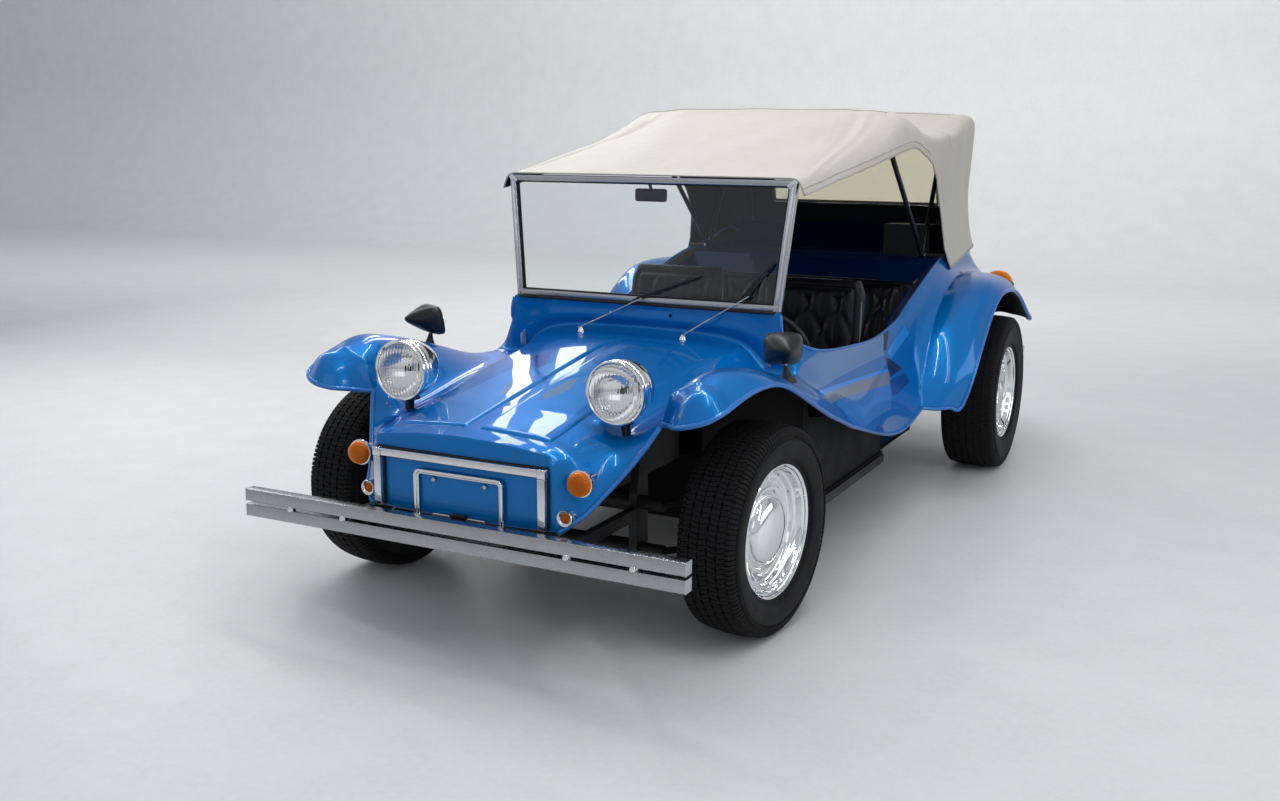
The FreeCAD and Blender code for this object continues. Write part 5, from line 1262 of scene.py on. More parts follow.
def build_mirrors(look):
    """Wedge-shaped outside mirrors on conical feet."""
    turns, lean = np.linspace(0, 2 * PI, 56, endpoint=False), 0.18
    n = len(turns)
    for side, label in SIDES:
        place = beside(side, MIRROR)
        yaw = Matrix.Rotation(side * math.radians(30), 3, "Z")
        verts = []
        for ahead, wide, high, power in MIRROR_STATIONS:
            for u, v in (rounded_square(turn, power) for turn in turns):
                z = high * v
                verts.append(place + yaw @ Vector((wide * u, -ahead - lean * z, z + 0.06 * ahead)) * MM)
        faces = [(j + i, j + (i + 1) % n, j + n + (i + 1) % n, j + n + i)
                 for j in range(0, len(verts) - n, n) for i in range(n)]
        faces += [tuple(range(n)), tuple(range(len(verts) - n, len(verts)))[::-1]]
        head = finish(mesh_from("head", verts, faces), "black")
        glass = turned("reflector", [(0.1, 0), (50, 0), (50, -2), (0.1, -2)], axis=Y_WAY, sides=48)
        tilt = yaw.to_4x4() @ Matrix.Rotation(math.atan(lean), 4, "X") @ Matrix.Diagonal((1.06, 1, 0.9, 1))
        glass.data.transform(Matrix.Translation(place + yaw @ Vector((0, 0.0285, 0))) @ tilt)
        foot = drop(*beside(side, (*MIRROR_FOOT, 0)).xy)[0]
        joint = place + Vector((side * 0.006, 0.004, -0.050))
        up = (joint - foot).normalized()
        cone = turned("crackle", MIRROR_CONE, foot - Vector((0, 0, 0.004)), up, 40, 60)
        pin = turned("trim", [(0.1, 0), (6, 0), (6, 50), (0.1, 50)], joint - up * 0.036, up, 20)
        link(joined("outside_mirror_" + label, [head, glass, cone, pin]), "black_trim", side > 0 and "outside_mirrors")


# Each wiper: pivot, elbow, and the ends of its blade
WIPERS = (
    ((-205, 490, 822), (10, 552, 925), (-30, 560, 915), (225, 572, 1010)),
    ((202, 490, 822), (420, 552, 955), (385, 556, 935), (496, 574, 1068)),
)
WIPER_NUT = [(0.1, -6), (14, -6), (13, 4), (8, 12), (8, 20), (0.1, 22)]


def build_wipers(look):
    """Grey arms on bright nuts, with black framed blades."""
    parts, ahead = [], Vector((0, -0.007, 0))
    for pivot, elbow, low, high in (tuple(at(*place) for place in wiper) for wiper in WIPERS):
        base, normal = drop(pivot.x, pivot.y)
        top = base + normal * 0.016
        parts += [
            turned("trim", WIPER_NUT, base, normal, 24),
            beam("screen_alloy", top, top.lerp(elbow, 0.42), 13, 6, 2, up=Z_WAY),
            beam("screen_alloy", top.lerp(elbow, 0.36), elbow, 6, 4, 1, up=Z_WAY),
            beam("black", elbow, (low + high) / 2 + Vector((0, -0.004, 0)), 6, 4, 1),
            beam("seal", low, high, 5, 11, 1),
            beam("black", low.lerp(high, 0.06) + ahead, low.lerp(high, 0.94) + ahead, 9, 4, 1),
        ]
    link(joined("wiper_pair", parts), "black_trim", "wipers")


# ------------------------------------------------------------ fabric top
# Sections: y, lean back per mm below the bows, crown z, shoulder x, z, how far
# the shoulder's rounding reaches, x at the valance's edge, x at the waist
BOW_Z = 1604.0
TOP_ROWS = (
    (592, 0, 1355.4, 574, 1354.4, 24, 597, 612), (850, 0, 1432, 588, 1394, 50, 612, 640),
    (1250, 0, 1524, 606, 1464, 90, 628, 650), (1500, 0, 1581, 624, 1534, 140, 640, 656),
    (1650, 0, 1604, 642, 1592, 190, 650, 658), (1760, 0, 1602, 643, 1576, 180, 649, 652),
    (1900, 0.01, 1592, 645, 1514, 90, 647, 640), (2020, 0.015, 1585, 647, 1488, 40, 645, 632),
    (2190, 0.02, 1582, 649, 1486, 34, 643, 622), (2413, 0.07, 1588, 651, 1512, 50, 642, 618),
    (2596, 0.10, 1602, 653, 1574, 100, 641, 617), (2660, 0.12, 1604, 655, 1592, 110, 641, 617),
    (2770, 0.26, 1604, 657, 1594, 100, 641, 618), (2810, 0.32, 1604, 660, 1596, 90, 643, 620),
)
# How much wider than the waist the quarter is at each height
TOP_FOOT = ((850, 66), (905, 46), (955, 28), (1000, 16), (1100, 3), (1240, 0))
TOP_EDGE = (
    (500, 1290), (592, 1298), (753, 1319), (900, 1342), (1100, 1365), (1310, 1394), (1550, 1429), (1680, 1447),
    (1780, 1440), (1890, 1417), (2045, 1373), (2160, 1307), (2250, 1217), (2306, 1125), (2322, 1037), (2330, 962),
    (2338, 905), (2560, 925), (3200, 1010),
)
FRONT_BOW, REAR_BOW = 1650.0, 2660.0
TOP_BACK, TOP_BACK_LEAN = 2810, 0.32
# Places along the car and places across each half of the cloth's section
TOP_LINES = np.r_[np.linspace(592, 2040, 92), np.linspace(2046, 2560, 74), np.linspace(2570, TOP_BACK, 30)]
TOP_COLUMNS = 88
CLOTH, FILM = 0.0022, 0.0012
# Rear window: half width, lower and upper edge; and the curtain's foot
WINDOW_HALF, WINDOW_LOW, WINDOW_HIGH, CURTAIN_FOOT = 430.0, 1165.0, 1440.0, 978.0


def through(table, x, column=1):
    """Value of a column at x, straight between the table's rows."""
    return np.interp(x, [row[0] for row in table], [row[column] for row in table])


def three_point_arc(a, b, c, count):
    """Points along the arc through three (x, z) places."""
    t = np.linspace(0, 1, count)
    circle = circle_through(a, b, c)
    if circle is None:
        return np.stack([a[k] + (c[k] - a[k]) * t for k in (0, 1)], 1)
    ox, oz, r = circle
    start, end = (math.atan2(z - oz, x - ox) for x, z in (a, c))
    turn = (end - start + PI) % (2 * PI) - PI
    return np.stack([ox + r * np.cos(start + turn * t), oz + r * np.sin(start + turn * t)], 1)


def top_half(y0):
    """Section of the cloth at one row: (x, y, z) from the middle to its edge."""
    lean, crown, xs, zs, reach, xm, xw = (through(TOP_ROWS, y0, k) for k in range(1, 8))
    inset = 55 * (max(0.0, y0 - 2700) / 110) ** 2.2
    crown, zs = crown - inset, zs - inset
    roof = three_point_arc((0, crown), (xs * 0.52, crown - (crown - zs) * 0.22), (xs, zs), 120)
    edge_z = 1440.0 if y0 > 1800 else min(1440.0, through(TOP_EDGE, y0))
    marks = [(z, xw + more) for z, more in TOP_FOOT] + [(edge_z, xm), (zs, xs)]
    z = np.linspace(zs, 850, 200)
    line = np.vstack([roof, np.stack([through(marks, z), z], 1)[1:]])
    line[:, 0] = np.maximum(line[:, 0] - inset * np.clip(line[:, 0] / 300, 0, 1), 0)
    # round the shoulder
    steps = np.r_[0, np.cumsum(np.hypot(*np.diff(line, axis=0).T))]
    even = np.arange(0, steps[-1], 4.0)
    line = np.stack([np.interp(even, steps, line[:, k]) for k in (0, 1)], 1)
    line = softened(softened(line, int(reach) // 4), 8)
    y = y0 + (BOW_Z - line[:, 1]) * lean
    above = line[:, 1] >= through(TOP_EDGE, y)
    last = max(len(line) if above.all() else int(np.argmin(above)), 12)
    return np.stack([line[:last, 0], y[:last], line[:last, 1]], 1)


def softened(line, pad):
    """Average a section's points over `pad` neighbours to either side."""
    wide = np.vstack([line[pad:0:-1] * [-1, 1], line, np.repeat(line[-1:], pad, 0)])
    kernel = np.hanning(2 * pad + 3)[1:-1]
    kernel /= kernel.sum()
    return np.stack([np.convolve(wide[:, k], kernel, "valid") for k in (0, 1)], 1)


def resampled(line, count):
    steps = np.r_[0, np.cumsum(np.linalg.norm(np.diff(line, axis=0), axis=1))]
    even = np.linspace(0, steps[-1], count)
    return np.stack([np.interp(even, steps, line[:, k]) for k in range(3)], 1)


def bell(value, middle, width):
    return np.exp(-((value - middle) / width) ** 2)


def cloth_relief(x, y, z):
    """Sag between the bows and soft folds, in millimetres outward."""
    side = np.abs(x)
    roof = 1 / (1 + np.exp((side - 545) / 22.0))
    front = np.clip((y - 640) / (FRONT_BOW - 640), 0, 1)
    rear = np.clip((y - FRONT_BOW) / (REAR_BOW - FRONT_BOW), 0, 1)
    sag = -10 * np.sin(PI * front) ** 2 * roof * (1 - (side / 640) ** 2)
    sag -= 24 * np.sin(PI * rear) ** 1.5 * roof
    # folds fanning out from the header's corners to the ends of the first bow
    spread = (625 - side) / (70 + 0.23 * (y - 560))
    wander = 0.35 * np.sin(y / 170.0 + spread)
    fan = 1 - 2 * np.abs(np.sin(PI * 2.4 * spread + wander)) ** 0.8
    fan += 0.5 * np.sin(2 * PI * 4.6 * spread + 2 * wander + 0.9)
    fan *= 9.0 * front ** 0.6 * (1 - front ** 6) * bell(spread, 0.40, 0.40) * (1 - 0.5 * bell(y, 1150, 160))
    broad = 2.6 * np.sin((side - 0.35 * (y - 640)) / 46.0) * np.sin(PI * front) * roof
    # slack beside the ends of both bows
    ends = 4.0 * np.sin((y - side * 0.5) / 21.0) * bell(y, FRONT_BOW - 60, 110) * bell(side, 500, 80)
    ends += 5.0 * np.sin((y + side * 0.7) / 27.0) * bell(y, FRONT_BOW + 210, 150) * bell(side, 450, 150)
    ends += 3.5 * np.sin((y + z * 0.35) / 34.0) * bell(y, REAR_BOW - 40, 190) * bell(z, 1350, 230) * (1 - roof)
    swell = 2.4 * np.sin(x / 71.0 + y / 140.0) * np.sin(y / 93.0) * roof
    ridge = 4.0 * (bell(y, FRONT_BOW, 20) + bell(y, REAR_BOW, 20)) * roof
    return sag + fan + broad + ends + swell + ridge


def to_frame(places):
    """Millimetres from the front axle to the frame's metres."""
    moved = np.array(places, dtype=float) * MM
    moved[..., 1] += FRONT_AXLE_Y
    return moved


def sheet_through(name, places, hole=None):
    """A sheet through a grid of places, faced away from the cabin."""
    faces = list(grid_faces(*places.shape[:2]))
    if hole is not None:
        faces = [face for face, cut in zip(faces, hole.ravel()) if not cut]
    obj = mesh_from(name, to_frame(places).reshape(-1, 3), faces)
    cabin = at(0, 1900, 1150)
    if sum((p.center - cabin).normalized().dot(p.normal) * p.area for p in obj.data.polygons) < 0:
        obj.data.flip_normals()
    return obj


def seam(places, radius, sides=5):
    """A thin raised line of stitching through places in millimetres."""
    return tube("cream_edge", [Vector(p) for p in to_frame(places)], radius, sides)


def hems_of(obj, radius, every=1):
    return [tube("cream_edge", loop[::every], radius, 6, closed=True) for loop in border_loops(obj.data)]


def top_places():
    """Grid of the cloth's places, from its right edge to its left edge."""
    half = np.array([resampled(top_half(y0), TOP_COLUMNS) for y0 in TOP_LINES])
    half[:, 0, 0] = 0.0
    x, y, z = np.moveaxis(half, 2, 0)
    # outward direction of the section, for the relief
    normal = np.cross(np.gradient(half, axis=0), np.gradient(half, axis=1))
    normal /= np.linalg.norm(normal, axis=2, keepdims=True) + 1e-9
    normal *= np.where(normal[..., 2:] + normal[..., :1] < 0, -1, 1)
    relief = cloth_relief(x, y, z)
    count = np.arange(len(half))
    fade = (np.minimum(1, count / 6.0) * np.minimum(1, count[::-1] / 4.0))[:, None]
    left = half + normal * (relief * fade)[..., None]
    right = half * [-1, 1, 1]
    # the cloth is drawn in a little further on the right, with its own folds
    right[..., 0] += 46 * bell(y, 1560, 480) * (x / 640) ** 4
    near = np.minimum(1, x / 160.0)
    relief = relief * (1 - near) + cloth_relief(x + 37.0, y + 23.0, z + 11.0) * near
    right = right + normal * [-1, 1, 1] * (relief * fade)[..., None]
    return np.concatenate([right[:, :0:-1], left], axis=1)


def build_top(look):
    """Cloth over the bows, the back curtain with its window, and hems."""
    places = top_places()
    roof = sheet_through("soft_top_cloth", places)
    hems = hems_of(roof, 0.0030, 2)
    link(thickened(roof, CLOTH, "cream", "lining"), "cream_vinyl", "soft_top")
    back, window, window_hems = back_curtain(places[-1])
    link(back, "cream_vinyl")
    link(window, "clear_vinyl", "rear_window")
    hems += window_hems
    for y0 in (FRONT_BOW - 24, FRONT_BOW + 24, REAR_BOW - 24, REAR_BOW + 24):
        line = places[int(np.argmin(np.abs(TOP_LINES - y0)))]
        hems.append(seam(line[np.abs(line[:, 0]) < 560][::2] + [0, 0, 1.2], 0.0012))
    for column, out in ((3, -1.0), (-4, 1.0)):
        hems.append(seam(places[:88, column] + [out, 0, 0.5], 0.0014))
    hem = joined("top_hems", hems)
    link(hem, "cream_vinyl")


def curtain_grid(rim):
    """Rows of (x, z) over the back, level with the window's edges.

    The rim is the last section of the cloth's left half, from the crown down.
    Its corner splits it into a top edge and a side edge.
    """
    corner = int(np.argmax(rim[:, 0] + rim[:, 2]))
    side = rim[corner:]
    top = rim[:corner + 1]
    top = top[np.argsort(top[:, 0])]
    corner_x, corner_z = side[0, 0], side[0, 2]

    def top_z(x):
        return np.interp(x, top[:, 0], top[:, 2])

    def side_x(z):
        return np.interp(z, side[::-1, 2], side[::-1, 0])

    middle, beside_it = np.linspace(0, WINDOW_HALF, 25), np.linspace(0, 1, 13)[1:]
    sill_x = side_x(WINDOW_HIGH)
    grid = []
    for level in [*np.linspace(1, 0, 15)[:-1], *np.linspace(0, -1, 21), *np.linspace(-1, -2, 15)[1:]]:
        if level > 0:
            z_in, z_side = (WINDOW_HIGH + (z - WINDOW_HIGH) * level for z in (top_z(WINDOW_HALF), corner_z))
            row = [(x, WINDOW_HIGH + (top_z(x) - WINDOW_HIGH) * level) for x in middle]
            for t in beside_it:
                x_top, x_low = (WINDOW_HALF + (x - WINDOW_HALF) * t for x in (corner_x, sill_x))
                lean = t * (side_x(z_side) - sill_x - (corner_x - sill_x) * level)
                bow = top_z(x_top) - (top_z(WINDOW_HALF) + (corner_z - top_z(WINDOW_HALF)) * t)
                row.append((x_low + (x_top - x_low) * level + lean, z_in + (z_side - z_in) * t + bow * level))
        else:
            z = WINDOW_HIGH + (WINDOW_HIGH - WINDOW_LOW) * level
            if level <= -1:
                z = WINDOW_LOW + (WINDOW_LOW - CURTAIN_FOOT) * (level + 1)
            row = [(x, z) for x in middle]
            row += [(WINDOW_HALF + (side_x(z) - WINDOW_HALF) * t, z) for t in beside_it]
        grid.append([(-x, z) for x, z in row[:0:-1]] + row)
    return np.array(grid)


def back_curtain(last_row):
    """Back panel of the top: a hole for the window, the window, its frame."""
    rim = last_row[last_row[:, 0] >= 0]
    rim = rim[np.argsort(-rim[:, 2])]
    crown = rim[0, 2]

    def bulged(x, z, inward=0.0):
        fade = np.sin(PI * np.clip((crown - z) / (crown - CURTAIN_FOOT), 0, 1)) * (1 - (x / 640) ** 2)
        out = (6 + 2.0 * np.sin(x / 60.0 + z / 45.0)) * fade
        return np.stack([x, TOP_BACK + (BOW_Z - z) * TOP_BACK_LEAN + out - inward, z], -1)

    places = bulged(*np.moveaxis(curtain_grid(rim), 2, 0))
    x, _, z = np.moveaxis((places[:-1, :-1] + places[1:, 1:]) / 2, 2, 0)
    back = sheet_through("back_curtain", places, (np.abs(x) < WINDOW_HALF) & (z > WINDOW_LOW) & (z < WINDOW_HIGH))
    tubes = hems_of(back, 0.0032)
    thickened(back, CLOTH, "cream", "lining")
    lap = 14
    x, z = np.meshgrid(np.linspace(-WINDOW_HALF - lap, WINDOW_HALF + lap, 40),
                       np.linspace(WINDOW_HIGH + lap, WINDOW_LOW - lap, 24))
    pane = bulged(x, z, 5.0 - 1.6 * np.sin(x / 37.0) * np.sin(z / 29.0 + x / 90.0))
    return back, thickened(sheet_through("rear_window_pane", pane), FILM, "vinyl_pane"), tubes


# ------------------------------------------------------------------ seats
# Upholstery: depth of the pleats, squareness of the corners, how far in the
# pleats and the seam lie across and along
PLEAT, SQUARENESS = 0.016, 7.0
PLEATS_TO, SEAM_AT = (0.84, 0.86), (0.86, 0.88)


def pillow(name, low, high, half, length, thick, channels, tufts, taper=0.0, rows=84):
    """An upholstered panel: tufted front, plain back, rounded all round.

    low and high give the middle of its lower edge and the way up.
    """
    u_way, v_way = Vector((1, 0, 0)), (high - low).normalized()
    out = u_way.cross(v_way).normalized()
    columns = channels * 10 + 12
    front, back = [], []
    for j in range(rows):
        v = 0.5 - 0.5 * math.cos(PI * j / (rows - 1))
        vv = 2 * v - 1
        for i in range(columns):
            u = -0.45 * math.cos(PI * i / (columns - 1)) + 0.55 * (2 * i / (columns - 1) - 1)
            body, inner = 1.0, 1.0
            for value, reach in zip((abs(u), abs(vv)), PLEATS_TO):
                body *= max(0.0, 1 - value ** SQUARENESS) ** (1 / SQUARENESS)
                inner *= min(1.0, max(0.0, (reach - value) / 0.04))
            corner = max(0.0, abs(vv) - 0.8) / 0.2 * max(0.0, abs(u) - 0.6) / 0.4
            across = PI * channels * (u / PLEATS_TO[0] + 1) / 4
            along = PI * tufts * v
            lines = min(abs(math.sin(across + along)), abs(math.sin(across - along)))
            wave = abs(math.sin(2 * across)) ** 0.5
            pull = (math.cos(across) * math.cos(along)) ** 2 + (math.sin(across) * math.sin(along)) ** 2
            pleat = PLEAT * (0.55 * min(1.0, lines * 1.8) ** 0.5 + 0.45 * wave - 0.6 * pull ** 10 - 0.5) * inner
            seam_dip = bell(abs(u), SEAM_AT[0], 0.022) * (abs(vv) < SEAM_AT[1])
            seam_dip += bell(abs(vv), SEAM_AT[1], 0.018) * (abs(u) < SEAM_AT[1])
            base = low + u_way * (u * half * (1 - taper * v) * (1 - 0.10 * corner)) + v_way * (v * length)
            front.append(base + out * (thick / 2 + pleat - 0.008 * seam_dip) * body)
            back.append(base - out * (thick / 2 * body))
    faces = list(grid_faces(rows, columns))
    whole = joined(name, [finish(mesh_from(name, verts, faces), "vinyl") for verts in (front, back)])
    cleaned(whole.data, 5e-4)
    ring = []
    for u, vv in (rounded_square(2 * PI * i / 96, SQUARENESS) for i in range(96)):
        v = (vv * 0.985 + 1) / 2
        ring.append(low + u_way * (u * 0.985 * half * (1 - taper * v)) + v_way * (v * length) + out * thick * 0.30)
    return whole, tube("piping", ring, 0.0045, 8, closed=True)


def link_seat(node, pads, frame_name, parts):
    """A seat's padded pieces, and its hard parts with the piping."""
    for first, pad in zip((True, False), pads):
        cushion, piping = pillow(*pad)
        parts.append(piping)
        link(cushion, "black_vinyl", first and node)
    link(joined(frame_name, parts), "black_vinyl")


def build_seats(look):
    """Two front seats and the rear bench, pleated, with grey piping."""
    for label, x, y in (("left", 340, 850), ("right", -340, 1040)):
        parts = [bar("chassis", x + s - 15, x + s + 15, y + 60, y + 520, 209, 249) for s in (-170, 170)]
        parts.append(bar("vinyl", x - 225, x + 225, y + 10, y + 500, 246, 268, 0.006))
        pads = (("seat_cushion_" + label, at(x, y + 12, 322), at(x, y + 408, 291), 0.236, 0.412, 0.112, 6, 2),
                ("seat_back_" + label, at(x, y + 465, 330), at(x, y + 572, 935), 0.236, 0.610, 0.090, 6, 3, 0.07))
        link_seat("seat_" + label, pads, "seat_frame_" + label, parts)
    pads = (("bench_cushion", at(0, 1702, 372), at(0, 2035, 342), 0.572, 0.335, 0.120, 14, 2),
            ("bench_back", at(0, 2062, 400), at(0, 2196, 850), 0.572, 0.468, 0.088, 14, 2))
    link_seat("rear_bench", pads, "bench_trim", [bar("vinyl", -572, 572, 1706, 2010, 211, 318, 0.006)])


# --------------------------------------------------------------- fittings
def build_fittings(look):
    """Small pieces of the cabin and body that the plain pieces leave out."""
    mirror = [bar("black", -62, 62, 626, 648, 1261, 1307, 0.009, 4),
              tube("trim", [at(0, 640, 1300), at(0, 622, 1330), at(0, 610, 1343)], 0.006, 10),
              bar("reflector", -56, 56, 647.5, 649, 1266, 1302, 0.0004)]
    link(joined("cabin_mirror", mirror), "black_trim", "inside_mirror")
    link(joined("dash_panel", [bar("black", -474, 474, 574, 648, 696, 884, 0.018, 4)]), "black_trim", "dash")
    stud = turned("trim", [(0, 0), (5.5, 0), (5.5, 1.5), (3, 3.5), (0, 3.8)], at(-520, 3000, 1003), Y_WAY, 20,
                  closed=False)
    pieces = [repeated(stud, "Row of pieces", Count=9, Step=(0.130, 0.0, 0.0), Finish=MATERIALS["trim"])]
    for side, _ in SIDES:
        pieces.append(turned("trim", [(0, 0), (15, 0), (15, 4), (6, 9), (0, 9)], at(side * 548, 2330, 960),
                             (side, 0, 0), 32, closed=False))
    link(joined("top_fasteners", pieces), "trim_chrome")
    # rubber strip under the screen and the washer's jet in the cowl
    strip = bar("seal", -512, 512, 552, 566, 897, 905, 0.003)
    jet = turned("seal", [(0, 0), (6, 0), (6, 2), (0, 3)], at(120, 559.5, 868), -Y_WAY, 24, closed=False)
    link(joined("cowl_details", [strip, jet]), "black_trim")


# ------------------------------------------------------------------ stage
# Lamps: name, place, target, width, length, level and share of it
LIGHTS = (
    ("top_long", (0.5, -0.4, 4.2), (0.0, 0.2, 0.5), 0.07, 6.5, "key_level", 0.85),
    ("top_left", (2.6, -1.2, 4.0), (0.3, 0.0, 0.5), 0.06, 6.5, "key_level", 0.32),
    ("top_left_pair", (3.0, -1.2, 4.0), (0.3, 0.0, 0.5), 0.06, 6.5, "key_level", 0.22),
    ("top_right", (-2.2, 0.2, 4.0), (0.0, 0.2, 0.5), 0.07, 6.5, "key_level", 1.05),
    ("rear_tube", (-3.3, 3.8, 4.2), (0.0, -1.2, 0.7), 0.32, 4.5, "key_level", 0.5),
    ("rear_tube_pair", (-4.4, 4.4, 4.2), (0.0, -1.2, 0.7), 0.22, 4.5, "key_level", 0.33),
    ("front_fill", (2.2, -7.5, 3.2), (0.0, -0.5, 0.5), 5.0, 2.4, "fill_level", 0.3),
    ("side_fill", (7.0, 2.0, 1.8), (0.5, 1.0, 0.8), 6.0, 2.2, "fill_level", 1.15),
    ("right_wall", (-6.5, 0.5, 2.6), (0.0, 0.3, 1.2), 6.0, 2.4, "fill_level", 0.7),
    ("backdrop_wash", (-3.5, 4.4, 5.6), (-5.0, 11.5, 2.6), 16.0, 2.0, "wash_level", 1.0),
)
CAMERA_PLACE = Vector((2.10101, -4.74845, 1.49589))
CAMERA_YAW, CAMERA_PITCH, CAMERA_ROLL = (math.radians(a) for a in (-27.306, 11.675, 0.266))


def build_floor():
    """A floor that curves up into the backdrop."""
    size, back, curve = 60.0, 9.0, 2.5
    line = [(-size, 0.0), (back, 0.0)]
    line += [(back + curve * math.sin(a), curve * (1 - math.cos(a))) for a in np.linspace(0.1, PI / 2, 14)]
    line.append((back + curve, 14.0))
    verts = [(x, y, z) for y, z in line for x in (-size, size)]
    faces = [(a, a + 1, a + 3, a + 2) for a in range(0, len(verts) - 2, 2)]
    floor = finish(raw_mesh("floor", verts, faces), "floor")
    bpy.context.scene.collection.objects.link(floor)
    floor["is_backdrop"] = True


def build_camera(look):
    ahead = Vector((math.sin(CAMERA_YAW) * math.cos(CAMERA_PITCH), math.cos(CAMERA_YAW) * math.cos(CAMERA_PITCH),
                    -math.sin(CAMERA_PITCH)))
    right = Vector((math.cos(CAMERA_YAW), -math.sin(CAMERA_YAW), 0.0))
    up = right.cross(ahead)
    c, s = math.cos(CAMERA_ROLL), math.sin(CAMERA_ROLL)
    data = bpy.data.cameras.new("camera")
    data.lens, data.sensor_width, data.sensor_fit = look.camera_lens, 36.0, "HORIZONTAL"
    camera = bpy.data.objects.new("camera", data)
    turn = Matrix((right * c + up * s, up * c - right * s, -ahead)).transposed().to_4x4()
    camera.matrix_world = Matrix.Translation(CAMERA_PLACE) @ turn
    bpy.context.scene.collection.objects.link(camera)
    bpy.context.scene.camera = camera


def build_stage(look):
    """Pale floor and backdrop, soft lights and the camera."""
    build_floor()
    scene = bpy.context.scene
    scene.world = bpy.data.worlds.new("studio")
    scene.world.use_nodes = True
    room = scene.world.node_tree.nodes["Background"].inputs
    room[0].default_value, room[1].default_value = (0.90, 0.93, 1.0, 1.0), look.world_level
    for name, place, target, wide, long, level, share in LIGHTS:
        lamp = bpy.data.lights.new(name, "AREA")
        lamp.shape = "RECTANGLE"
        lamp.size, lamp.size_y, lamp.energy = wide, long, getattr(look, level) * share
        obj = bpy.data.objects.new(name, lamp)
        obj.location = place
        obj.rotation_euler = (Vector(target) - Vector(place)).to_track_quat("-Z", "Y").to_euler()
        scene.collection.objects.link(obj)
    build_camera(look)
    scene.view_settings.view_transform = "Standard"


# ------------------------------------------------------------- the add-on
class BuggyLook(bpy.types.PropertyGroup):
    """Finishes and sizes that the panel shows."""

    body_colour: bpy.props.FloatVectorProperty(
        name="Body colour", description="Base of the metal-flake paint", default=(0.0002, 0.192, 0.56),
        subtype="COLOR", min=0.0, max=1.0)
    body_deep: bpy.props.FloatVectorProperty(
        name="Flake colour", description="Darker flakes in the paint", default=(0.0003, 0.036, 0.17),
        subtype="COLOR", min=0.0, max=1.0)
    top_colour: bpy.props.FloatVectorProperty(
        name="Top colour", description="Coated cloth of the folding top", default=(0.475, 0.458, 0.408),
        subtype="COLOR", min=0.0, max=1.0)
    wall: bpy.props.FloatProperty(name="Wall", description="Thickness of the body shell", default=0.005, unit="LENGTH")
    lip: bpy.props.FloatProperty(name="Lip", description="Radius of the rolled edges", default=0.008, unit="LENGTH")
    panel_rise: bpy.props.FloatProperty(
        name="Panel rise", description="Height of the hood panels", default=0.007, unit="LENGTH")
    top_flat: bpy.props.FloatVectorProperty(
        name="Top flat", description="Width and length that the top is cut to", size=2, default=(2.4, 2.4),
        unit="LENGTH")
    top_area: bpy.props.FloatProperty(name="Top area", description="Flat area of the cut, square metres", default=3.93)
    back_flat: bpy.props.FloatVectorProperty(
        name="Back flat", description="Width and length of the back curtain", size=2, default=(1.3, 0.6), unit="LENGTH")
    back_area: bpy.props.FloatProperty(name="Back area", description="Flat area of the curtain", default=0.447)
    window_flat: bpy.props.FloatVectorProperty(
        name="Window flat", description="Width and height of the window film", size=2, default=(0.888, 0.318),
        unit="LENGTH")
    world_level: bpy.props.FloatProperty(name="Room light", description="Plain light all round", default=0.56)
    key_level: bpy.props.FloatProperty(name="Tube light", description="Power of each long lamp", default=74.0)
    fill_level: bpy.props.FloatProperty(name="Fill light", description="Power of the soft fills", default=62.0)
    wash_level: bpy.props.FloatProperty(name="Backdrop light", description="Power of the wash behind", default=520.0)
    camera_lens: bpy.props.FloatProperty(name="Lens", description="Focal length in millimetres", default=36.208)


class BUGGY_OT_materials(bpy.types.Operator):
    """Build the finishes and give them to the plain pieces"""

    bl_idname = "buggy.materials"
    bl_label = "Materials"

    def execute(self, context):
        build_groups()
        build_repeats()
        build_materials(context.scene.buggy_look)
        finish_nodes()
        return {"FINISHED"}


class BUGGY_OT_body(bpy.types.Operator):
    """Build the glass-fibre body"""

    bl_idname = "buggy.body"
    bl_label = "Body"

    def execute(self, context):
        build_body(context.scene.buggy_look)
        return {"FINISHED"}


class BUGGY_OT_wheels(bpy.types.Operator):
    """Build tyres with their tread, and chrome rims"""

    bl_idname = "buggy.wheels"
    bl_label = "Wheels"

    def execute(self, context):
        build_wheels(context.scene.buggy_look)
        return {"FINISHED"}


class BUGGY_OT_lamps(bpy.types.Operator):
    """Build all lamps"""

    bl_idname = "buggy.lamps"
    bl_label = "Lamps"

    def execute(self, context):
        build_lamps(context.scene.buggy_look)
        return {"FINISHED"}


class BUGGY_OT_trim(bpy.types.Operator):
    """Build the nose strips and the plate holder"""

    bl_idname = "buggy.trim"
    bl_label = "Front trim"

    def execute(self, context):
        build_front_trim(context.scene.buggy_look)
        return {"FINISHED"}


class BUGGY_OT_bumpers(bpy.types.Operator):
    """Build both twin-bar bumpers"""

    bl_idname = "buggy.bumpers"
    bl_label = "Bumpers"

    def execute(self, context):
        build_bumpers(context.scene.buggy_look)
        return {"FINISHED"}


class BUGGY_OT_windscreen(bpy.types.Operator):
    """Build the windscreen frame"""

    bl_idname = "buggy.windscreen"
    bl_label = "Windscreen"

    def execute(self, context):
        build_windscreen(context.scene.buggy_look)
        return {"FINISHED"}


class BUGGY_OT_mirrors(bpy.types.Operator):
    """Build the outside mirrors"""

    bl_idname = "buggy.mirrors"
    bl_label = "Mirrors"

    def execute(self, context):
        build_mirrors(context.scene.buggy_look)
        return {"FINISHED"}


class BUGGY_OT_wipers(bpy.types.Operator):
    """Build the wipers"""

    bl_idname = "buggy.wipers"
    bl_label = "Wipers"

    def execute(self, context):
        build_wipers(context.scene.buggy_look)
        return {"FINISHED"}


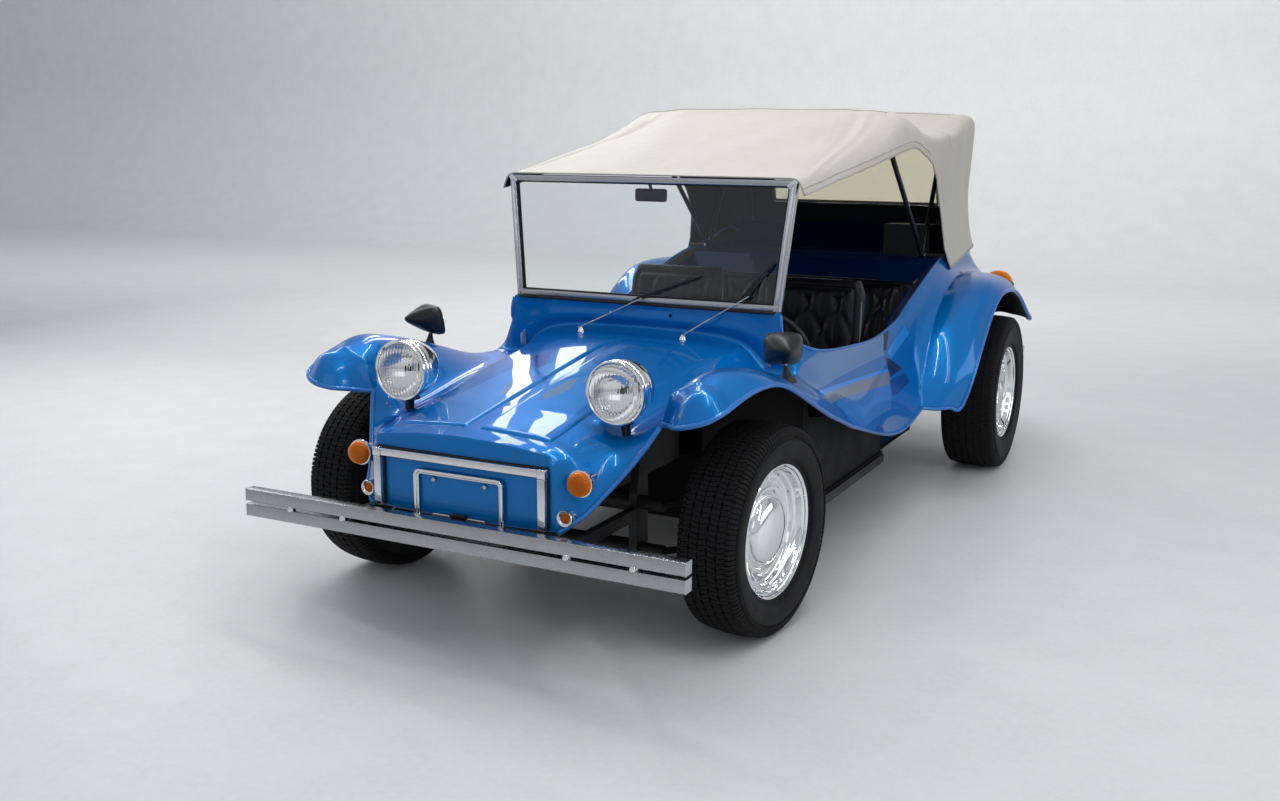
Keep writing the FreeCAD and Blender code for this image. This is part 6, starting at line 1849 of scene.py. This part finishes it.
class BUGGY_OT_seats(bpy.types.Operator):
    """Build the seats and the rear bench"""

    bl_idname = "buggy.seats"
    bl_label = "Seats"

    def execute(self, context):
        build_seats(context.scene.buggy_look)
        return {"FINISHED"}


class BUGGY_OT_top(bpy.types.Operator):
    """Build the folding top's cloth, curtain and window"""

    bl_idname = "buggy.top"
    bl_label = "Fabric top"

    def execute(self, context):
        build_top(context.scene.buggy_look)
        return {"FINISHED"}


class BUGGY_OT_fittings(bpy.types.Operator):
    """Build the cabin mirror, fasteners and small trim"""

    bl_idname = "buggy.fittings"
    bl_label = "Fittings"

    def execute(self, context):
        build_fittings(context.scene.buggy_look)
        return {"FINISHED"}


class BUGGY_OT_stage(bpy.types.Operator):
    """Build the floor, the lights and the camera"""

    bl_idname = "buggy.stage"
    bl_label = "Stage"

    def execute(self, context):
        build_stage(context.scene.buggy_look)
        return {"FINISHED"}


class BUGGY_PT_panel(bpy.types.Panel):
    """The look's settings and a button for each step"""

    bl_label = "Dune buggy"
    bl_idname = "BUGGY_PT_panel"
    bl_space_type = "VIEW_3D"
    bl_region_type = "UI"
    bl_category = "Buggy"

    def draw(self, context):
        for key in BuggyLook.__annotations__:
            self.layout.prop(context.scene.buggy_look, key)
        for step in STEPS:
            self.layout.operator(step.bl_idname)


STEPS = (BUGGY_OT_materials, BUGGY_OT_body, BUGGY_OT_wheels, BUGGY_OT_lamps, BUGGY_OT_trim, BUGGY_OT_bumpers,
         BUGGY_OT_windscreen, BUGGY_OT_mirrors, BUGGY_OT_wipers, BUGGY_OT_seats, BUGGY_OT_top,
         BUGGY_OT_fittings, BUGGY_OT_stage)
CLASSES = (BuggyLook, *STEPS, BUGGY_PT_panel)


def register():
    for kind in CLASSES:
        bpy.utils.register_class(kind)
    bpy.types.Scene.buggy_look = bpy.props.PointerProperty(type=BuggyLook)


def unregister():
    del bpy.types.Scene.buggy_look
    for kind in reversed(CLASSES):
        bpy.utils.unregister_class(kind)


def corners(bounds):
    return [[float(v) for v in corner] for corner in bounds]


def main():
    register()
    for step in STEPS:
        family, name = step.bl_idname.split(".")
        if getattr(getattr(bpy.ops, family), name)() != {"FINISHED"}:
            raise RuntimeError("step did not finish: " + step.bl_idname)
    {"CAD box": corners(CAD_BOX), "visual box": corners(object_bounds())}


if __name__ == "__main__":
    main()
